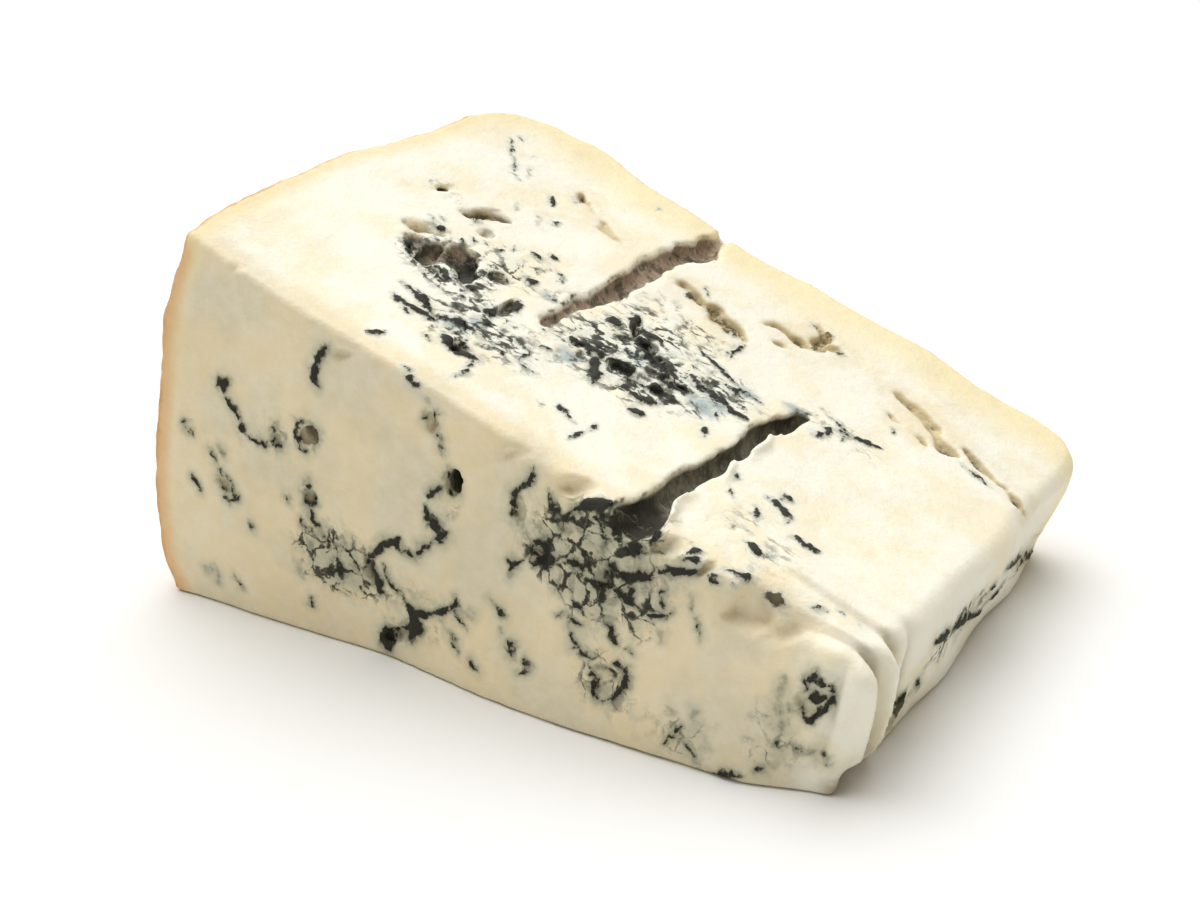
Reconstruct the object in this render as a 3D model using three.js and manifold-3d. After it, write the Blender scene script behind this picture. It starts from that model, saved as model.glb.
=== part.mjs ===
// Wedge of soft blue-veined cheese, lying on one of its two long cut faces.
// It is a slice of half a cheese wheel: the wheel was halved across its middle, then cut like a cake,
// and the thin tip beside the wheel's axis was cut off.
//
// Design frame, in millimetres, while the body is being shaped:
//   x runs from the curved rind (x = 0 at the base) to the cut-off nose,
//   y runs from the cut that halved the wheel (y = 0) to the wheel's flat rind,
//   z is up from the face the wedge lies on.
// The last step moves the origin to the middle of the underside.

import * as THREE from 'three';
import { mergeVertices } from 'three/addons/utils/BufferGeometryUtils.js';
import Module from 'manifold-3d';

const wasm = await Module();
wasm.setup();

// ---------- driving dimensions, mm ----------

const wheelRadius = 139;         // radius of the whole wheel, the curve of the rind end
const wedgeWidth = 72;           // half the height of the wheel
const noseAtBase = 99.5;         // where the nose cut meets the base
const noseLean = 0.2;            // how far the nose leans out per mm of height
const noseSkew = 3.2;            // how much shorter the base is along the flat rind
const rimRadius = 15;            // rounding between the curved rind and the flat rind
const noseCornerRadius = 5;      // rounding between the nose and the flat rind
const noseCreaseRadius = 3;      // rounding between the top and the nose
const noseFrontRadius = 1.6;     // rounding between the nose and the halving cut

const topAtFrontRind = 54.3;     // height of the top plane over x = 0 on the halving cut
const topAtFrontNose = 18.3;     // the same over x = 100
const topAtBackRind = 61.0;      // height over x = 0 along the flat rind
const topAtBackNose = 15.2;      // the same over x = 100
const topReferenceLength = 100;

const footBulge = 3.1;           // how far the foot of the halving cut has sagged outwards
const footBulgeHeight = 24;      // height over which the sag fades away
const cutRipple = 0.35;          // height of the soft waves left on the cut faces
const rindSwell = 3.0;           // how far the curved rind bellies out between its two edges
const rindSwellCentre = 25;      // y of the fullest part of the belly
const rindSwellReach = 32;       // distance over which the belly fades away
const rindRipple = 0.7;          // height of the dents and swells of the rind
const noseRipple = 0.4;          // height of the waves along the nose cut
const noseValleys = [            // upright folds of the nose: place, half width and depth
  { y: 4.7, reach: 2.6, depth: 2.6 },
  { y: 9.8, reach: 2.6, depth: 1.6 },
];

const needleRadius = 1.9;        // radius of the channels pierced for the blue mould
const topEdgeRadius = 1.2;       // softened edge between the top and the faces around it

const uSteps = 26;               // grid squares along x
const vSteps = 26;               // grid squares along y
const wSteps = 9;                // grid squares along z
const edgeCrowding = 0.8;        // how strongly grid lines gather beside the edges

const cheeseColour = 0xf3e6c4;
const cheeseRoughness = 0.55;

// ---------- small helpers ----------

function mix(a, b, t) {
  return a + (b - a) * t;
}

function clamp01(t) {
  return Math.min(1, Math.max(0, t));
}

function smooth(t) {
  const s = clamp01(t);
  return s * s * (3 - 2 * s);
}

// A smooth bump, 1 at the centre and 0 from one half width away.
function bump(value, centre, halfWidth) {
  return smooth(1 - Math.abs(value - centre) / halfWidth);
}

// How far a quarter-round edge of this radius falls back at a distance from the edge.
function edgeFall(distance, radius) {
  if (distance >= radius) {
    return 0;
  }
  const inward = radius - Math.max(0, distance);
  return radius - Math.sqrt(radius * radius - inward * inward);
}

// Grid positions from 0 to 1 that gather towards both ends.
function crowded(step, steps) {
  const s = step / steps;
  return s - edgeCrowding * Math.sin(2 * Math.PI * s) / (2 * Math.PI);
}

// Repeatable pseudo-random number from -1 to 1.
function wobble(seed) {
  const s = Math.sin(seed * 127.1 + 311.7) * 43758.5453;
  return 2 * (s - Math.floor(s)) - 1;
}

// ---------- the faces of the wedge ----------

function rindX(y, z) {
  const curve = wheelRadius - Math.sqrt(wheelRadius * wheelRadius - z * z);
  const rim = edgeFall(wedgeWidth - y, rimRadius);
  const swell = rindSwell * bump(y, rindSwellCentre, rindSwellReach);
  const dents = rindRipple * (Math.sin(z * 0.29 + y * 0.11) + Math.sin(y * 0.23 - z * 0.17)) / 2;
  const foot = 1.6 * bump(z, 0, 5);
  return curve + rim - swell * mix(0.5, 1, smooth(z / 12)) + dents * smooth(z / 6) + foot;
}

function noseX(y, z) {
  const along = clamp01(y / wedgeWidth);
  const base = noseAtBase - noseSkew * along * along;
  const lean = (noseLean + 0.1 * along) * z;
  const corner = edgeFall(backY(noseAtBase, z) - y, noseCornerRadius);
  const waves = noseRipple * Math.sin(y * 0.24 + z * 0.3) * smooth((y - 14) / 12);
  return base + lean - corner + waves - noseFolds(y, z);
}

// Upright folds where the soft paste dragged on the knife, beside the halving cut.
function noseFolds(y, z) {
  const deepest = 8.5;
  const reach = 12;
  const height = smooth(z / 3) * mix(0.55, 1, bump(z, deepest, reach));
  let fold = 0;
  for (const valley of noseValleys) {
    fold += valley.depth * bump(y, valley.y, valley.reach);
  }
  const frontCorner = edgeFall(y, noseFrontRadius);
  return fold * height + frontCorner * smooth(z / 6);
}

function frontY(x, z) {
  const sag = footBulge * smooth((x - 34) / 34) * (1 - smooth((x - 88) / 13));
  const foot = sag * (1 - smooth(z / footBulgeHeight));
  const waves = cutRipple * (Math.sin(x * 0.21 + z * 0.13) + Math.sin(x * 0.09 - z * 0.33)) / 2;
  const ledge = 1.7 * bump(x, 92.5, 7) * smooth((z - 12) / 6);
  return -foot + waves + ledge;
}

function backY(x, z) {
  const hollow = -1.8 * bump(x, 42, 30);
  const flare = 2.2 * smooth((x - 60) / 30);
  const dents = rindRipple * (Math.sin(x * 0.17 + z * 0.2) + Math.sin(x * 0.31 - z * 0.14)) / 2;
  return wedgeWidth + hollow + flare + dents;
}

function topZ(x, y) {
  const across = clamp01(y / wedgeWidth);
  const along = x / topReferenceLength;
  const atRind = mix(topAtFrontRind, topAtBackRind, across);
  const atNose = mix(topAtFrontNose, topAtBackNose, across);
  const plane = mix(atRind, atNose, along);
  const waves = cutRipple * (Math.sin(x * 0.16 + y * 0.12) + Math.sin(y * 0.21 - x * 0.08)) / 2;
  const scoop = 2.4 * bump(x, 92.5, 7) * bump(y, 0, 7);
  return plane + waves - scoop;
}

// ---------- the solid body ----------

// Places one point of a unit cube inside the wedge.
function placePoint(u, v, w) {
  let x = mix(0, noseAtBase, u);
  let y = mix(0, wedgeWidth, v);
  let z = 0;
  const settleRounds = 12;
  for (let round = 0; round < settleRounds; round += 1) {
    z = w * topZ(x, y);
    y = mix(frontY(x, z), backY(x, z), v);
    x = mix(rindX(y, z), noseX(y, z), u);
  }
  const fromNose = noseX(y, z) - x;
  const fromRind = x - rindX(y, z);
  const fromFront = y - frontY(x, z);
  const fromBack = backY(x, z) - y;
  const top = topZ(x, y)
    - edgeFall(fromNose, noseCreaseRadius)
    - 0.5 * edgeFall(fromFront, topEdgeRadius)
    - edgeFall(Math.min(fromRind, fromBack), topEdgeRadius);
  return new THREE.Vector3(x, y, w * top);
}

function makeBody() {
  const cube = new THREE.BoxGeometry(1, 1, 1, uSteps, vSteps, wSteps);
  const position = cube.attributes.position;
  for (let i = 0; i < position.count; i += 1) {
    const u = crowded(Math.round((position.getX(i) + 0.5) * uSteps), uSteps);
    const v = crowded(Math.round((position.getY(i) + 0.5) * vSteps), vSteps);
    const w = crowded(Math.round((position.getZ(i) + 0.5) * wSteps), wSteps);
    const point = placePoint(u, v, w);
    position.setXYZ(i, point.x, point.y, point.z);
  }
  return toSolid(cube);
}

// ---------- boolean work ----------

function toSolid(geometry) {
  const bare = geometry.clone();
  bare.deleteAttribute('normal');
  bare.deleteAttribute('uv');
  const joined = mergeVertices(bare, 1e-5);
  const mesh = new wasm.Mesh({
    numProp: 3,
    vertProperties: new Float32Array(joined.attributes.position.array),
    triVerts: new Uint32Array(joined.index.array),
  });
  return new wasm.Manifold(mesh);
}

function toGeometry(solid) {
  const mesh = solid.getMesh();
  const geometry = new THREE.BufferGeometry();
  geometry.setAttribute('position', new THREE.BufferAttribute(new Float32Array(mesh.vertProperties), 3));
  geometry.setIndex(new THREE.BufferAttribute(new Uint32Array(mesh.triVerts), 1));
  return geometry;
}

// ---------- cutters ----------

// A needle channel parallel to the wheel's axis, from one y to another.
// rise lifts its far end, so that a channel can run out of the top.
function channelCutter({ x, z, fromY, toY, radius = needleRadius, drift = 0, rise = 0, stretch = 1 }) {
  const length = toY - fromY;
  const tube = new THREE.CapsuleGeometry(radius, length - 2 * radius, 3, 10, 7);
  const position = tube.attributes.position;
  for (let i = 0; i < position.count; i += 1) {
    const t = position.getY(i) / length + 0.5;
    const bow = 0.25 * Math.sin(t * 9 + x);
    position.setXYZ(
      i,
      x + position.getX(i) + drift * t + bow,
      mix(fromY, toY, t),
      z + position.getZ(i) * stretch + rise * t,
    );
  }
  return toSolid(mergeVertices(tube, 1e-4));
}

// A rounded, uneven hollow. size holds its three half widths and turn its rotation about z, in degrees.
function pitCutter({ at, size, turn = 0, tilt = 0, seed = 1 }) {
  const blob = new THREE.IcosahedronGeometry(1, 1);
  blob.deleteAttribute('normal');
  blob.deleteAttribute('uv');
  const joined = mergeVertices(blob, 1e-4);
  const position = joined.attributes.position;
  for (let i = 0; i < position.count; i += 1) {
    const swell = 1 + 0.16 * wobble(seed * 17 + i);
    position.setXYZ(i, position.getX(i) * swell, position.getY(i) * swell, position.getZ(i) * swell);
  }
  const rotation = new THREE.Euler(0, THREE.MathUtils.degToRad(tilt), THREE.MathUtils.degToRad(turn), 'ZYX');
  const matrix = new THREE.Matrix4().compose(
    new THREE.Vector3(...at),
    new THREE.Quaternion().setFromEuler(rotation),
    new THREE.Vector3(...size),
  );
  joined.applyMatrix4(matrix);
  return toSolid(joined);
}

// Channels split open along the top face.
function topChannels() {
  const nearRind = { x: 45.0, fromY: 24.5, toY: 80 };
  const nearNose = { x: 72.4, fromY: -6, toY: 39.5 };
  return [
    channelCutter({
      ...nearRind,
      z: topZ(nearRind.x, nearRind.fromY) + 1.3,
      rise: topZ(48, nearRind.toY) - topZ(nearRind.x, nearRind.fromY) - 1.4,
      drift: 2.6,
    }),
    channelCutter({
      ...nearNose,
      radius: 2.3,
      z: topZ(nearNose.x, 0) - 0.6,
      rise: topZ(73.6, nearNose.toY) - topZ(nearNose.x, 0) + 2.1,
      drift: 1.2,
    }),
  ];
}

// Channels met end-on: mouths on the halving cut, and the needle's entries on the flat rind.
function crossChannels() {
  const mouths = [
    { x: 48.1, z: 26.0, radius: 1.15, stretch: 1.75, depth: 13 },
    { x: 26.5, z: 28.1, radius: 2.1, stretch: 1.1, depth: 3.4 },
    { x: 21.8, z: 26.8, radius: 0.9, stretch: 1.2, depth: 3 },
    { x: 12.2, z: 18.0, radius: 0.8, stretch: 1.6, depth: 3.5 },
    { x: 69.7, z: 6.3, radius: 1.5, stretch: 1.2, depth: 5 },
    { x: 96.6, z: 11.6, radius: 1.5, stretch: 1.5, depth: 6 },
  ];
  const entries = [
    { x: 26.5, z: 28.1 },
    { x: 48.1, z: 26.0 },
    { x: 69.7, z: 9.5 },
    { x: 90.5, z: 9.0 },
    { x: 36.0, z: 10.0 },
  ];
  const entryRadius = 1.4;
  const entryDepth = 7;
  const outside = 6;
  return [
    ...mouths.map((m) => channelCutter({
      x: m.x,
      z: m.z,
      radius: m.radius,
      stretch: m.stretch,
      fromY: -outside,
      toY: m.depth,
    })),
    ...entries.map((e) => channelCutter({
      x: e.x,
      z: e.z,
      radius: entryRadius,
      fromY: wedgeWidth - entryDepth,
      toY: wedgeWidth + outside,
    })),
  ];
}

// Hollows and crevices opened where the knife passed through mould pockets on the top.
function topHollows() {
  const hollows = [
    { x: 30.4, y: 26.5, size: [3.4, 2.1, 1.9], turn: 25 },
    { x: 25.4, y: 27.4, size: [2.2, 1.5, 1.5], turn: -20 },
    { x: 34.6, y: 23.0, size: [2.4, 1.3, 1.3], turn: 40 },
    { x: 27.1, y: 38.4, size: [1.8, 1.2, 1.4], turn: 10 },
    { x: 20.7, y: 38.5, size: [1.9, 1.4, 0.9], turn: 70 },
    { x: 38.6, y: 19.0, size: [2.6, 1.1, 1.0], turn: 15 },
    { x: 34.8, y: 54.6, size: [5.2, 0.9, 1.3], turn: -18 },
    { x: 55.9, y: 49.9, size: [5.0, 1.0, 1.4], turn: -10 },
    { x: 68.7, y: 58.9, size: [3.8, 0.9, 1.2], turn: 14 },
    { x: 83.7, y: 56.2, size: [4.4, 0.9, 1.2], turn: -6 },
    { x: 96.8, y: 52.9, size: [4.6, 1.1, 1.2], turn: 2 },
    { x: 59.0, y: 31.0, size: [2.8, 1.4, 1.0], turn: 30 },
    { x: 65.5, y: 27.5, size: [2.0, 1.2, 0.9], turn: -30 },
  ];
  const topSlope = 22;
  return hollows.map((h, index) => pitCutter({
    at: [h.x, h.y, topZ(h.x, h.y) - 0.15],
    size: h.size,
    turn: h.turn,
    tilt: topSlope,
    seed: index + 3,
  }));
}

// Hollows in the mould pockets of the halving cut.
function frontHollows() {
  const hollows = [
    { x: 25.6, z: 19.4, size: [1.8, 1.2, 1.3], tilt: 20 },
    { x: 31.4, z: 12.4, size: [2.8, 1.3, 1.6], tilt: 50 },
    { x: 39.6, z: 4.6, size: [2.2, 1.2, 1.2], tilt: -20 },
    { x: 57.9, z: 24.6, size: [0.9, 1.2, 3.6], tilt: 8 },
    { x: 61.8, z: 20.6, size: [2.6, 1.5, 1.5], tilt: 30 },
    { x: 67.6, z: 24.2, size: [3.2, 1.7, 1.6], tilt: -15 },
    { x: 74.0, z: 21.0, size: [3.0, 1.4, 1.5], tilt: 35 },
    { x: 80.6, z: 21.4, size: [2.4, 1.3, 1.2], tilt: 20 },
    { x: 66.0, z: 16.5, size: [2.0, 1.2, 1.1], tilt: -25 },
    { x: 13.4, z: 33.2, size: [0.9, 1.0, 2.6], tilt: 15 },
  ];
  return hollows.map((h, index) => pitCutter({
    at: [h.x, frontY(h.x, h.z), h.z],
    size: h.size,
    tilt: h.tilt,
    seed: index + 40,
  }));
}

// ---------- the part ----------

function makeWedge() {
  let solid = makeBody();
  const cutters = [
    ...topChannels(),
    ...crossChannels(),
    ...topHollows(),
    ...frontHollows(),
  ];
  for (const cutter of cutters) {
    solid = solid.subtract(cutter);
  }
  return solid;
}

// Moves the origin to the middle of the underside of the bounding box.
function moveOriginToBase(geometry) {
  geometry.computeBoundingBox();
  const { min, max } = geometry.boundingBox;
  geometry.translate(-(min.x + max.x) / 2, -(min.y + max.y) / 2, -min.z);
  return geometry;
}

const cheeseMaterial = new THREE.MeshStandardMaterial({
  color: cheeseColour,
  roughness: cheeseRoughness,
  metalness: 0,
});

const cheeseWedge = new THREE.Mesh(moveOriginToBase(toGeometry(makeWedge())), cheeseMaterial);
cheeseWedge.name = 'cheese_wedge';

const group = new THREE.Group();
group.name = 'blue_cheese_wedge';
group.add(cheeseWedge);

export default group;
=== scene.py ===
# A wedge of soft blue cheese lying on a pale table, seen from the nose side.
# The body is shaped as a distance field in millimetres, so that channels, hollows and folds
# are cut into one solid, and is then turned into a mesh.
# Shaping frame: x from the curved rind to the nose, y from the halving cut to the flat rind, z up.
import math

import bmesh
import bpy
import numpy as np
import openvdb
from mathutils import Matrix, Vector, noise as pointNoise


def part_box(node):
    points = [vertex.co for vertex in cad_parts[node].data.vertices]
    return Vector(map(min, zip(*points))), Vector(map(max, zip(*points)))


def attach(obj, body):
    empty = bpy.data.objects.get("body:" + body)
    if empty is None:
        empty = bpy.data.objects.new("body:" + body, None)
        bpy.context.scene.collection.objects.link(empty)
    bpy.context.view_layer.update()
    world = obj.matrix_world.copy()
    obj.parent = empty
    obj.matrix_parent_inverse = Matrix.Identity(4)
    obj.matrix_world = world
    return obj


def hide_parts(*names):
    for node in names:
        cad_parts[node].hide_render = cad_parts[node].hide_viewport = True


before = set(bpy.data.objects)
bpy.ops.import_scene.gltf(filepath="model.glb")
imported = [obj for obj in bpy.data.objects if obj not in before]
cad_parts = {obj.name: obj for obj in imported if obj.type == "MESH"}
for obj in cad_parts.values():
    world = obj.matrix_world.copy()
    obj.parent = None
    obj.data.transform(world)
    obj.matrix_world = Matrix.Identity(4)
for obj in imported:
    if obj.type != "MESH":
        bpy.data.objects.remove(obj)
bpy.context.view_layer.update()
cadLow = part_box("cheese_wedge")[0]   # the wedge goes in this corner of its CAD box

mm = 0.001


# The wedge

wedge = {
    "wheelRadius": 139.0,      # mm, curve of the rind end
    "width": 72.0,             # mm, from the halving cut to the flat rind
    "noseAtBase": 99.5,        # mm, where the nose cut meets the table
    "rimRadius": 15.0,         # mm, rounding between the curved and the flat rind
    "noseEdge": 4.0,           # mm, rounding of the nose's upright edges
    "frontEdge": 0.9,          # mm, rounding of the edges that the knife left sharp
    "footEdge": 0.5,           # mm, rounding where the wedge meets the table
    "topAtRind": (54.3, 61.0),     # mm, height of the top there, beside the halving cut and the flat rind
    "topAtNose": (18.3, 15.2),     # mm, the same 100 mm further along
    "rindBelly": 2.72,         # mm, how far the rind end swells past x = 0
    "footSag": 3.15,           # mm, how far the foot of the halving cut swells past y = 0
    "voxel": 0.5,   # mm, size of the smallest shape kept
    "seed": 17,
}

# low and high corner of the field, mm
fieldLow = (-6.0, -7.0, -2.0)
fieldHigh = (108.0, 80.0, 59.0)


def smoothStep(t):
    s = np.clip(t, 0.0, 1.0)
    return s * s * (3 - 2 * s)


def bump(value, centre, halfWidth):
    return smoothStep(1 - np.abs(value - centre) / halfWidth)


def mix(a, b, t):
    return a + (b - a) * t


def roundedMax(a, b, radius):
    # the part inside both a and b, with their shared edge rounded
    outside = np.hypot(np.maximum(a + radius, 0), np.maximum(b + radius, 0))
    return np.minimum(np.maximum(a, b), -radius) + outside


def softMin(a, b, blend):
    h = np.clip(0.5 + 0.5 * (b - a) / blend, 0.0, 1.0)
    return mix(b, a, h) - blend * h * (1 - h)


def softMax(a, b, blend):
    return -softMin(-a, -b, blend)


# the faces of the wedge, mm

def rindPlace(y, z):
    curve = wedge["wheelRadius"] - np.sqrt(wedge["wheelRadius"] ** 2 - z * z)
    belly = 3.0 * bump(y, 25, 32) * mix(0.5, 1.0, smoothStep(z / 12))
    dents = 0.7 * (np.sin(z * 0.29 + y * 0.11) + np.sin(y * 0.23 - z * 0.17)) / 2
    outward = 0.75 * smoothStep(z / 14) + 0.7 * bump(z, 34, 24) * smoothStep((40 - y) / 20)
    return curve - belly - outward + dents * 0.7 * smoothStep(z / 6) + 1.6 * bump(z, 0, 5)


def backPlace(x, z):
    dents = 0.7 * (np.sin(x * 0.17 + z * 0.2) + np.sin(x * 0.31 - z * 0.14)) / 2
    swell = smoothStep((x - 34) / 24)
    waist = 1.8 * bump(x, 42, 30)
    noseSwell = 1.7 * smoothStep((x - 60) / 30)
    return wedge["width"] + swell - waist + noseSwell + dents


def frontPlace(x, z):
    sag = 3.1 * smoothStep((x - 34) / 34) * (1 - smoothStep((x - 88) / 13))
    waves = 0.35 * (np.sin(x * 0.21 + z * 0.13) + np.sin(x * 0.09 - z * 0.33)) / 2
    ledge = 1.5 * bump(x, 92.5, 7) * smoothStep((z - 12) / 6)
    # a chip broken out under the top edge, with a sharp lower lip
    chipStart = smoothStep((x - 84.2 - 0.5 * (z - 18)) / 0.7)
    chipFloor = smoothStep((z - (17.2 + 0.09 * (x - 88.6) ** 2)) / 0.8)
    chip = 2.2 * chipStart * smoothStep((92 - x) / 3.5) * chipFloor
    # the edge beside the nose has rolled over, leaving a soft upright crease
    crease = 1.2 * bump(x, 96.4 + 0.2 * z, 1.4) * smoothStep((z - 2) / 3) * smoothStep((18 - z) / 3)
    return waves + ledge + chip + crease - sag * (1 - smoothStep(z / 24))


def nosePlace(y, z):
    along = np.clip(y / wedge["width"], 0, 1)
    lean = (0.2 + 0.1 * along) * z
    waves = 0.4 * np.sin(y * 0.24 + z * 0.3) * smoothStep((y - 14) / 12)
    return wedge["noseAtBase"] - 3.2 * along ** 2 + lean + waves - noseFolds(y, z)


def noseFolds(y, z):
    # upright folds where the paste dragged on the knife
    height = smoothStep(z / 2.0) * mix(0.55, 1.0, bump(z, 9.5, 13)) * (1 - 0.45 * smoothStep((z - 13) / 5))
    drift = 0.2 * (12.0 - z)
    firstValley = 5.0 * bump(y, 4.7 + drift, 2.1)
    secondValley = 3.4 * bump(y, 9.4 + 0.6 * drift, 1.9)
    thirdValley = 1.2 * bump(y, 13.4 + 0.4 * drift, 1.7)
    firstRidge = 1.2 * bump(y, 1.9 + drift, 2.4) * smoothStep((18.5 - z) / 3)
    secondRidge = 1.7 * bump(y, 7.2 + drift, 1.6)
    # the foot of the first fold has crumbled away
    foot = 1.6 * smoothStep((3.6 - z) / 1.6) * bump(y, 5.0, 5.5)
    return (firstValley + secondValley + thirdValley - firstRidge - secondRidge) * height + foot


def topPlace(x, y):
    across = np.clip(y / wedge["width"], 0, 1)
    plane = mix(mix(*wedge["topAtRind"], across), mix(*wedge["topAtNose"], across), x / 100)
    waves = 0.35 * (np.sin(x * 0.16 + y * 0.12) + np.sin(y * 0.21 - x * 0.08)) / 2
    farCorner = 0.8 * smoothStep((y - 48) / 20) * (smoothStep((x - 50) / 30) - 1.2 * bump(x, 22, 26))
    return plane + waves + farCorner - 2.4 * bump(x, 92.5, 7) * bump(y, 0, 7)


# the field

voxel = wedge["voxel"]
counts = [int(round((high - low) / voxel)) + 1 for low, high in zip(fieldLow, fieldHigh)]
axisX, axisY, axisZ = [
    (low + voxel * np.arange(count)).astype(np.float32)
    for low, count in zip(fieldLow, counts)
]
gridX = axisX[:, None, None]
gridY = axisY[None, :, None]
gridZ = axisZ[None, None, :]
randomNumbers = np.random.default_rng(wedge["seed"])
pointNoise.seed_set(wedge["seed"])   # without it the veins would wander another way each run


def cubicWeights(axis, low, spacing):
    # how much each lattice value adds to each place on one axis
    size = int((axis[-1] - low) / spacing) + 5
    place = (axis - low) / spacing + 1.5
    gap = np.abs(place[:, None] - np.arange(size)[None, :])
    near = 2 / 3 - gap ** 2 + gap ** 3 / 2
    far = np.clip(2 - gap, 0, None) ** 3 / 6
    return np.where(gap < 1, near, far).astype(np.float32)


def fieldNoise(spacing):
    # smooth noise from about -1 to 1 over the whole field; spacing is the size of its lumps, mm
    spacings = spacing if isinstance(spacing, tuple) else (spacing,) * 3
    weights = [
        cubicWeights(axis, low, step)
        for axis, low, step in zip((axisX, axisY, axisZ), fieldLow, spacings)
    ]
    lattice = randomNumbers.uniform(-1, 1, [w.shape[1] for w in weights]).astype(np.float32)
    part = np.tensordot(weights[0], lattice, axes=(1, 0))
    part = np.tensordot(part, weights[1], axes=(1, 1))
    part = np.tensordot(part, weights[2], axes=(1, 1))
    return 1.9 * part


noiseLarge = fieldNoise(9.0)
noiseMedium = fieldNoise(3.6)
noiseSmall = fieldNoise(1.7)
noiseFine = fieldNoise(1.0)
noiseDrag = fieldNoise((7.0, 1.6, 1.6))   # drawn out along the knife's path
bendX, bendY, bendZ = [fieldNoise(2.6) + 0.5 * fieldNoise(1.3) for _ in range(3)]


def shapeBody():
    # the factors turn distances along an axis into distances square to a sloping face
    top = (gridZ - topPlace(gridX, gridY)) * 0.92
    rind = (rindPlace(gridY, gridZ) - gridX) * 0.95
    back = gridY - backPlace(gridX, gridZ)
    nose = (gridX - nosePlace(gridY, gridZ)) * 0.95
    front = frontPlace(gridX, gridZ) - gridY
    base = -gridZ
    crust = 0.22 * noiseMedium + 0.18 * noiseSmall + 0.12 * noiseFine
    paste = 0.13 * noiseMedium + 0.06 * noiseDrag + 0.22 * noiseLarge + 0.05 * noiseFine
    sides = roundedMax(rind + crust, back + crust, wedge["rimRadius"])
    sides = roundedMax(sides, nose + paste * 0.8, wedge["noseEdge"])
    sides = roundedMax(sides, front + paste, wedge["frontEdge"])
    # the edge of the top is blunter at the nose and half way along the halving cut
    blunt = 1.3 * smoothStep((gridX - 93) / 8)
    worn = 1.4 * bump(gridX, 60, 9) * smoothStep((20 - gridY) / 8)
    body = roundedMax(sides, top + paste, wedge["frontEdge"] + blunt + worn)
    return roundedMax(body, np.broadcast_to(base, body.shape), wedge["footEdge"])


body = shapeBody()
print("shaped the body of the wedge:", body.shape)


# cutting into the field

def span(axis, low, high):
    first = int(np.searchsorted(axis, low))
    last = int(np.searchsorted(axis, high))
    return slice(max(first, 0), min(last, len(axis)))


def carve(low, high, cutter, blend=0.5, warp=0.8):
    # cutter gives the distance to the tool inside one block of the field
    block = tuple(span(axis, a, b) for axis, a, b in zip((axisX, axisY, axisZ), low, high))
    x, y, z = np.meshgrid(axisX[block[0]], axisY[block[1]], axisZ[block[2]], indexing="ij")
    rough = noiseSmall[block] + 0.6 * noiseFine[block]
    # the tool is bent, so that the paste looks torn and not drilled
    x, y, z = x + warp * bendX[block], y + warp * bendY[block], z + 0.6 * warp * bendZ[block]
    body[block] = softMax(body[block], -cutter(x, y, z, rough), blend)


def fill(low, high, shape, blend=0.4):
    block = tuple(span(axis, a, b) for axis, a, b in zip((axisX, axisY, axisZ), low, high))
    x, y, z = np.meshgrid(axisX[block[0]], axisY[block[1]], axisZ[block[2]], indexing="ij")
    body[block] = softMin(body[block], shape(x, y, z), blend)


def turned(x, y, z, centre, turn, tilt):
    # distances along, across and square to a hollow, tilted with the slope of the top and then turned
    dx, dy, dz = x - centre[0], y - centre[1], z - centre[2]
    cosTurn, sinTurn = math.cos(math.radians(turn)), math.sin(math.radians(turn))
    cosTilt, sinTilt = math.cos(math.radians(tilt)), math.sin(math.radians(tilt))
    along, up = dx * cosTilt - dz * sinTilt, dx * sinTilt + dz * cosTilt
    return along * cosTurn + dy * sinTurn, -along * sinTurn + dy * cosTurn, up


topTilt = -22.0   # degrees, the slope of the top towards the nose

# chips along the front edge of the top, too shallow for mould: x, y, half sizes, turn in degrees
edgeChips = [
    {"x": 59.0, "y": 0.1, "half": (4.5, 1.3, 1.0), "turn": 6},
    {"x": 66.4, "y": 0.3, "half": (2.6, 1.5, 1.2), "turn": -10},
    {"x": 78.2, "y": 0.2, "half": (3.4, 1.6, 1.1), "turn": 8},
    {"x": 83.4, "y": 0.5, "half": (2.6, 1.3, 0.9), "turn": -12},
    {"x": 92.6, "y": 0.6, "half": (4.2, 1.8, 1.1), "turn": 10},
    {"x": 36.0, "y": -0.2, "half": (5.0, 0.9, 0.7), "turn": 3},
    {"x": 17.0, "y": -0.3, "half": (4.0, 0.9, 0.7), "turn": -4},
]

# channels split open along the top: place of the middle at each end, half width, depth of the middle
topChannels = [
    {
        "from": (44.6, 25.0), "to": (47.8, 80.0), "half": (0.7, 1.9), "sunk": (0.1, 0.4),
        "ragged": 0.45, "torn": 0.6,
    },
    {
        "from": (72.6, -6.0), "to": (73.8, 40.0), "half": (2.3, 1.5), "sunk": (0.6, 1.4),
        "ragged": 0.3, "torn": 0.4,
    },
]


def carveChannel(channel):
    (x0, y0), (x1, y1) = channel["from"], channel["to"]
    half0, half1 = channel["half"]
    sunk0, sunk1 = channel["sunk"]

    def cutter(x, y, z, rough):
        t = np.clip((y - y0) / (y1 - y0), 0, 1)
        fast = np.clip(t * 2.2, 0, 1)          # the narrow end opens out early
        half = mix(half0, half1, fast)
        middleX = mix(x0, x1, t) + 0.35 * np.sin(y * 0.33)
        middleY = np.clip(y, y0, y1)
        half = half * (1 - 0.45 * smoothStep((y - 63) / 8))   # it closes again in the tough rind
        middleZ = topPlace(middleX, middleY) - mix(sunk0, sunk1, t)
        away = np.sqrt((x - middleX) ** 2 + (y - middleY) ** 2 + ((z - middleZ) * 0.8) ** 2)
        return away - half + channel["ragged"] * rough

    carve((min(x0, x1) - 5, y0 - 3, 8), (max(x0, x1) + 5, y1 + 3, 58), cutter, 0.3, channel["torn"])


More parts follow.
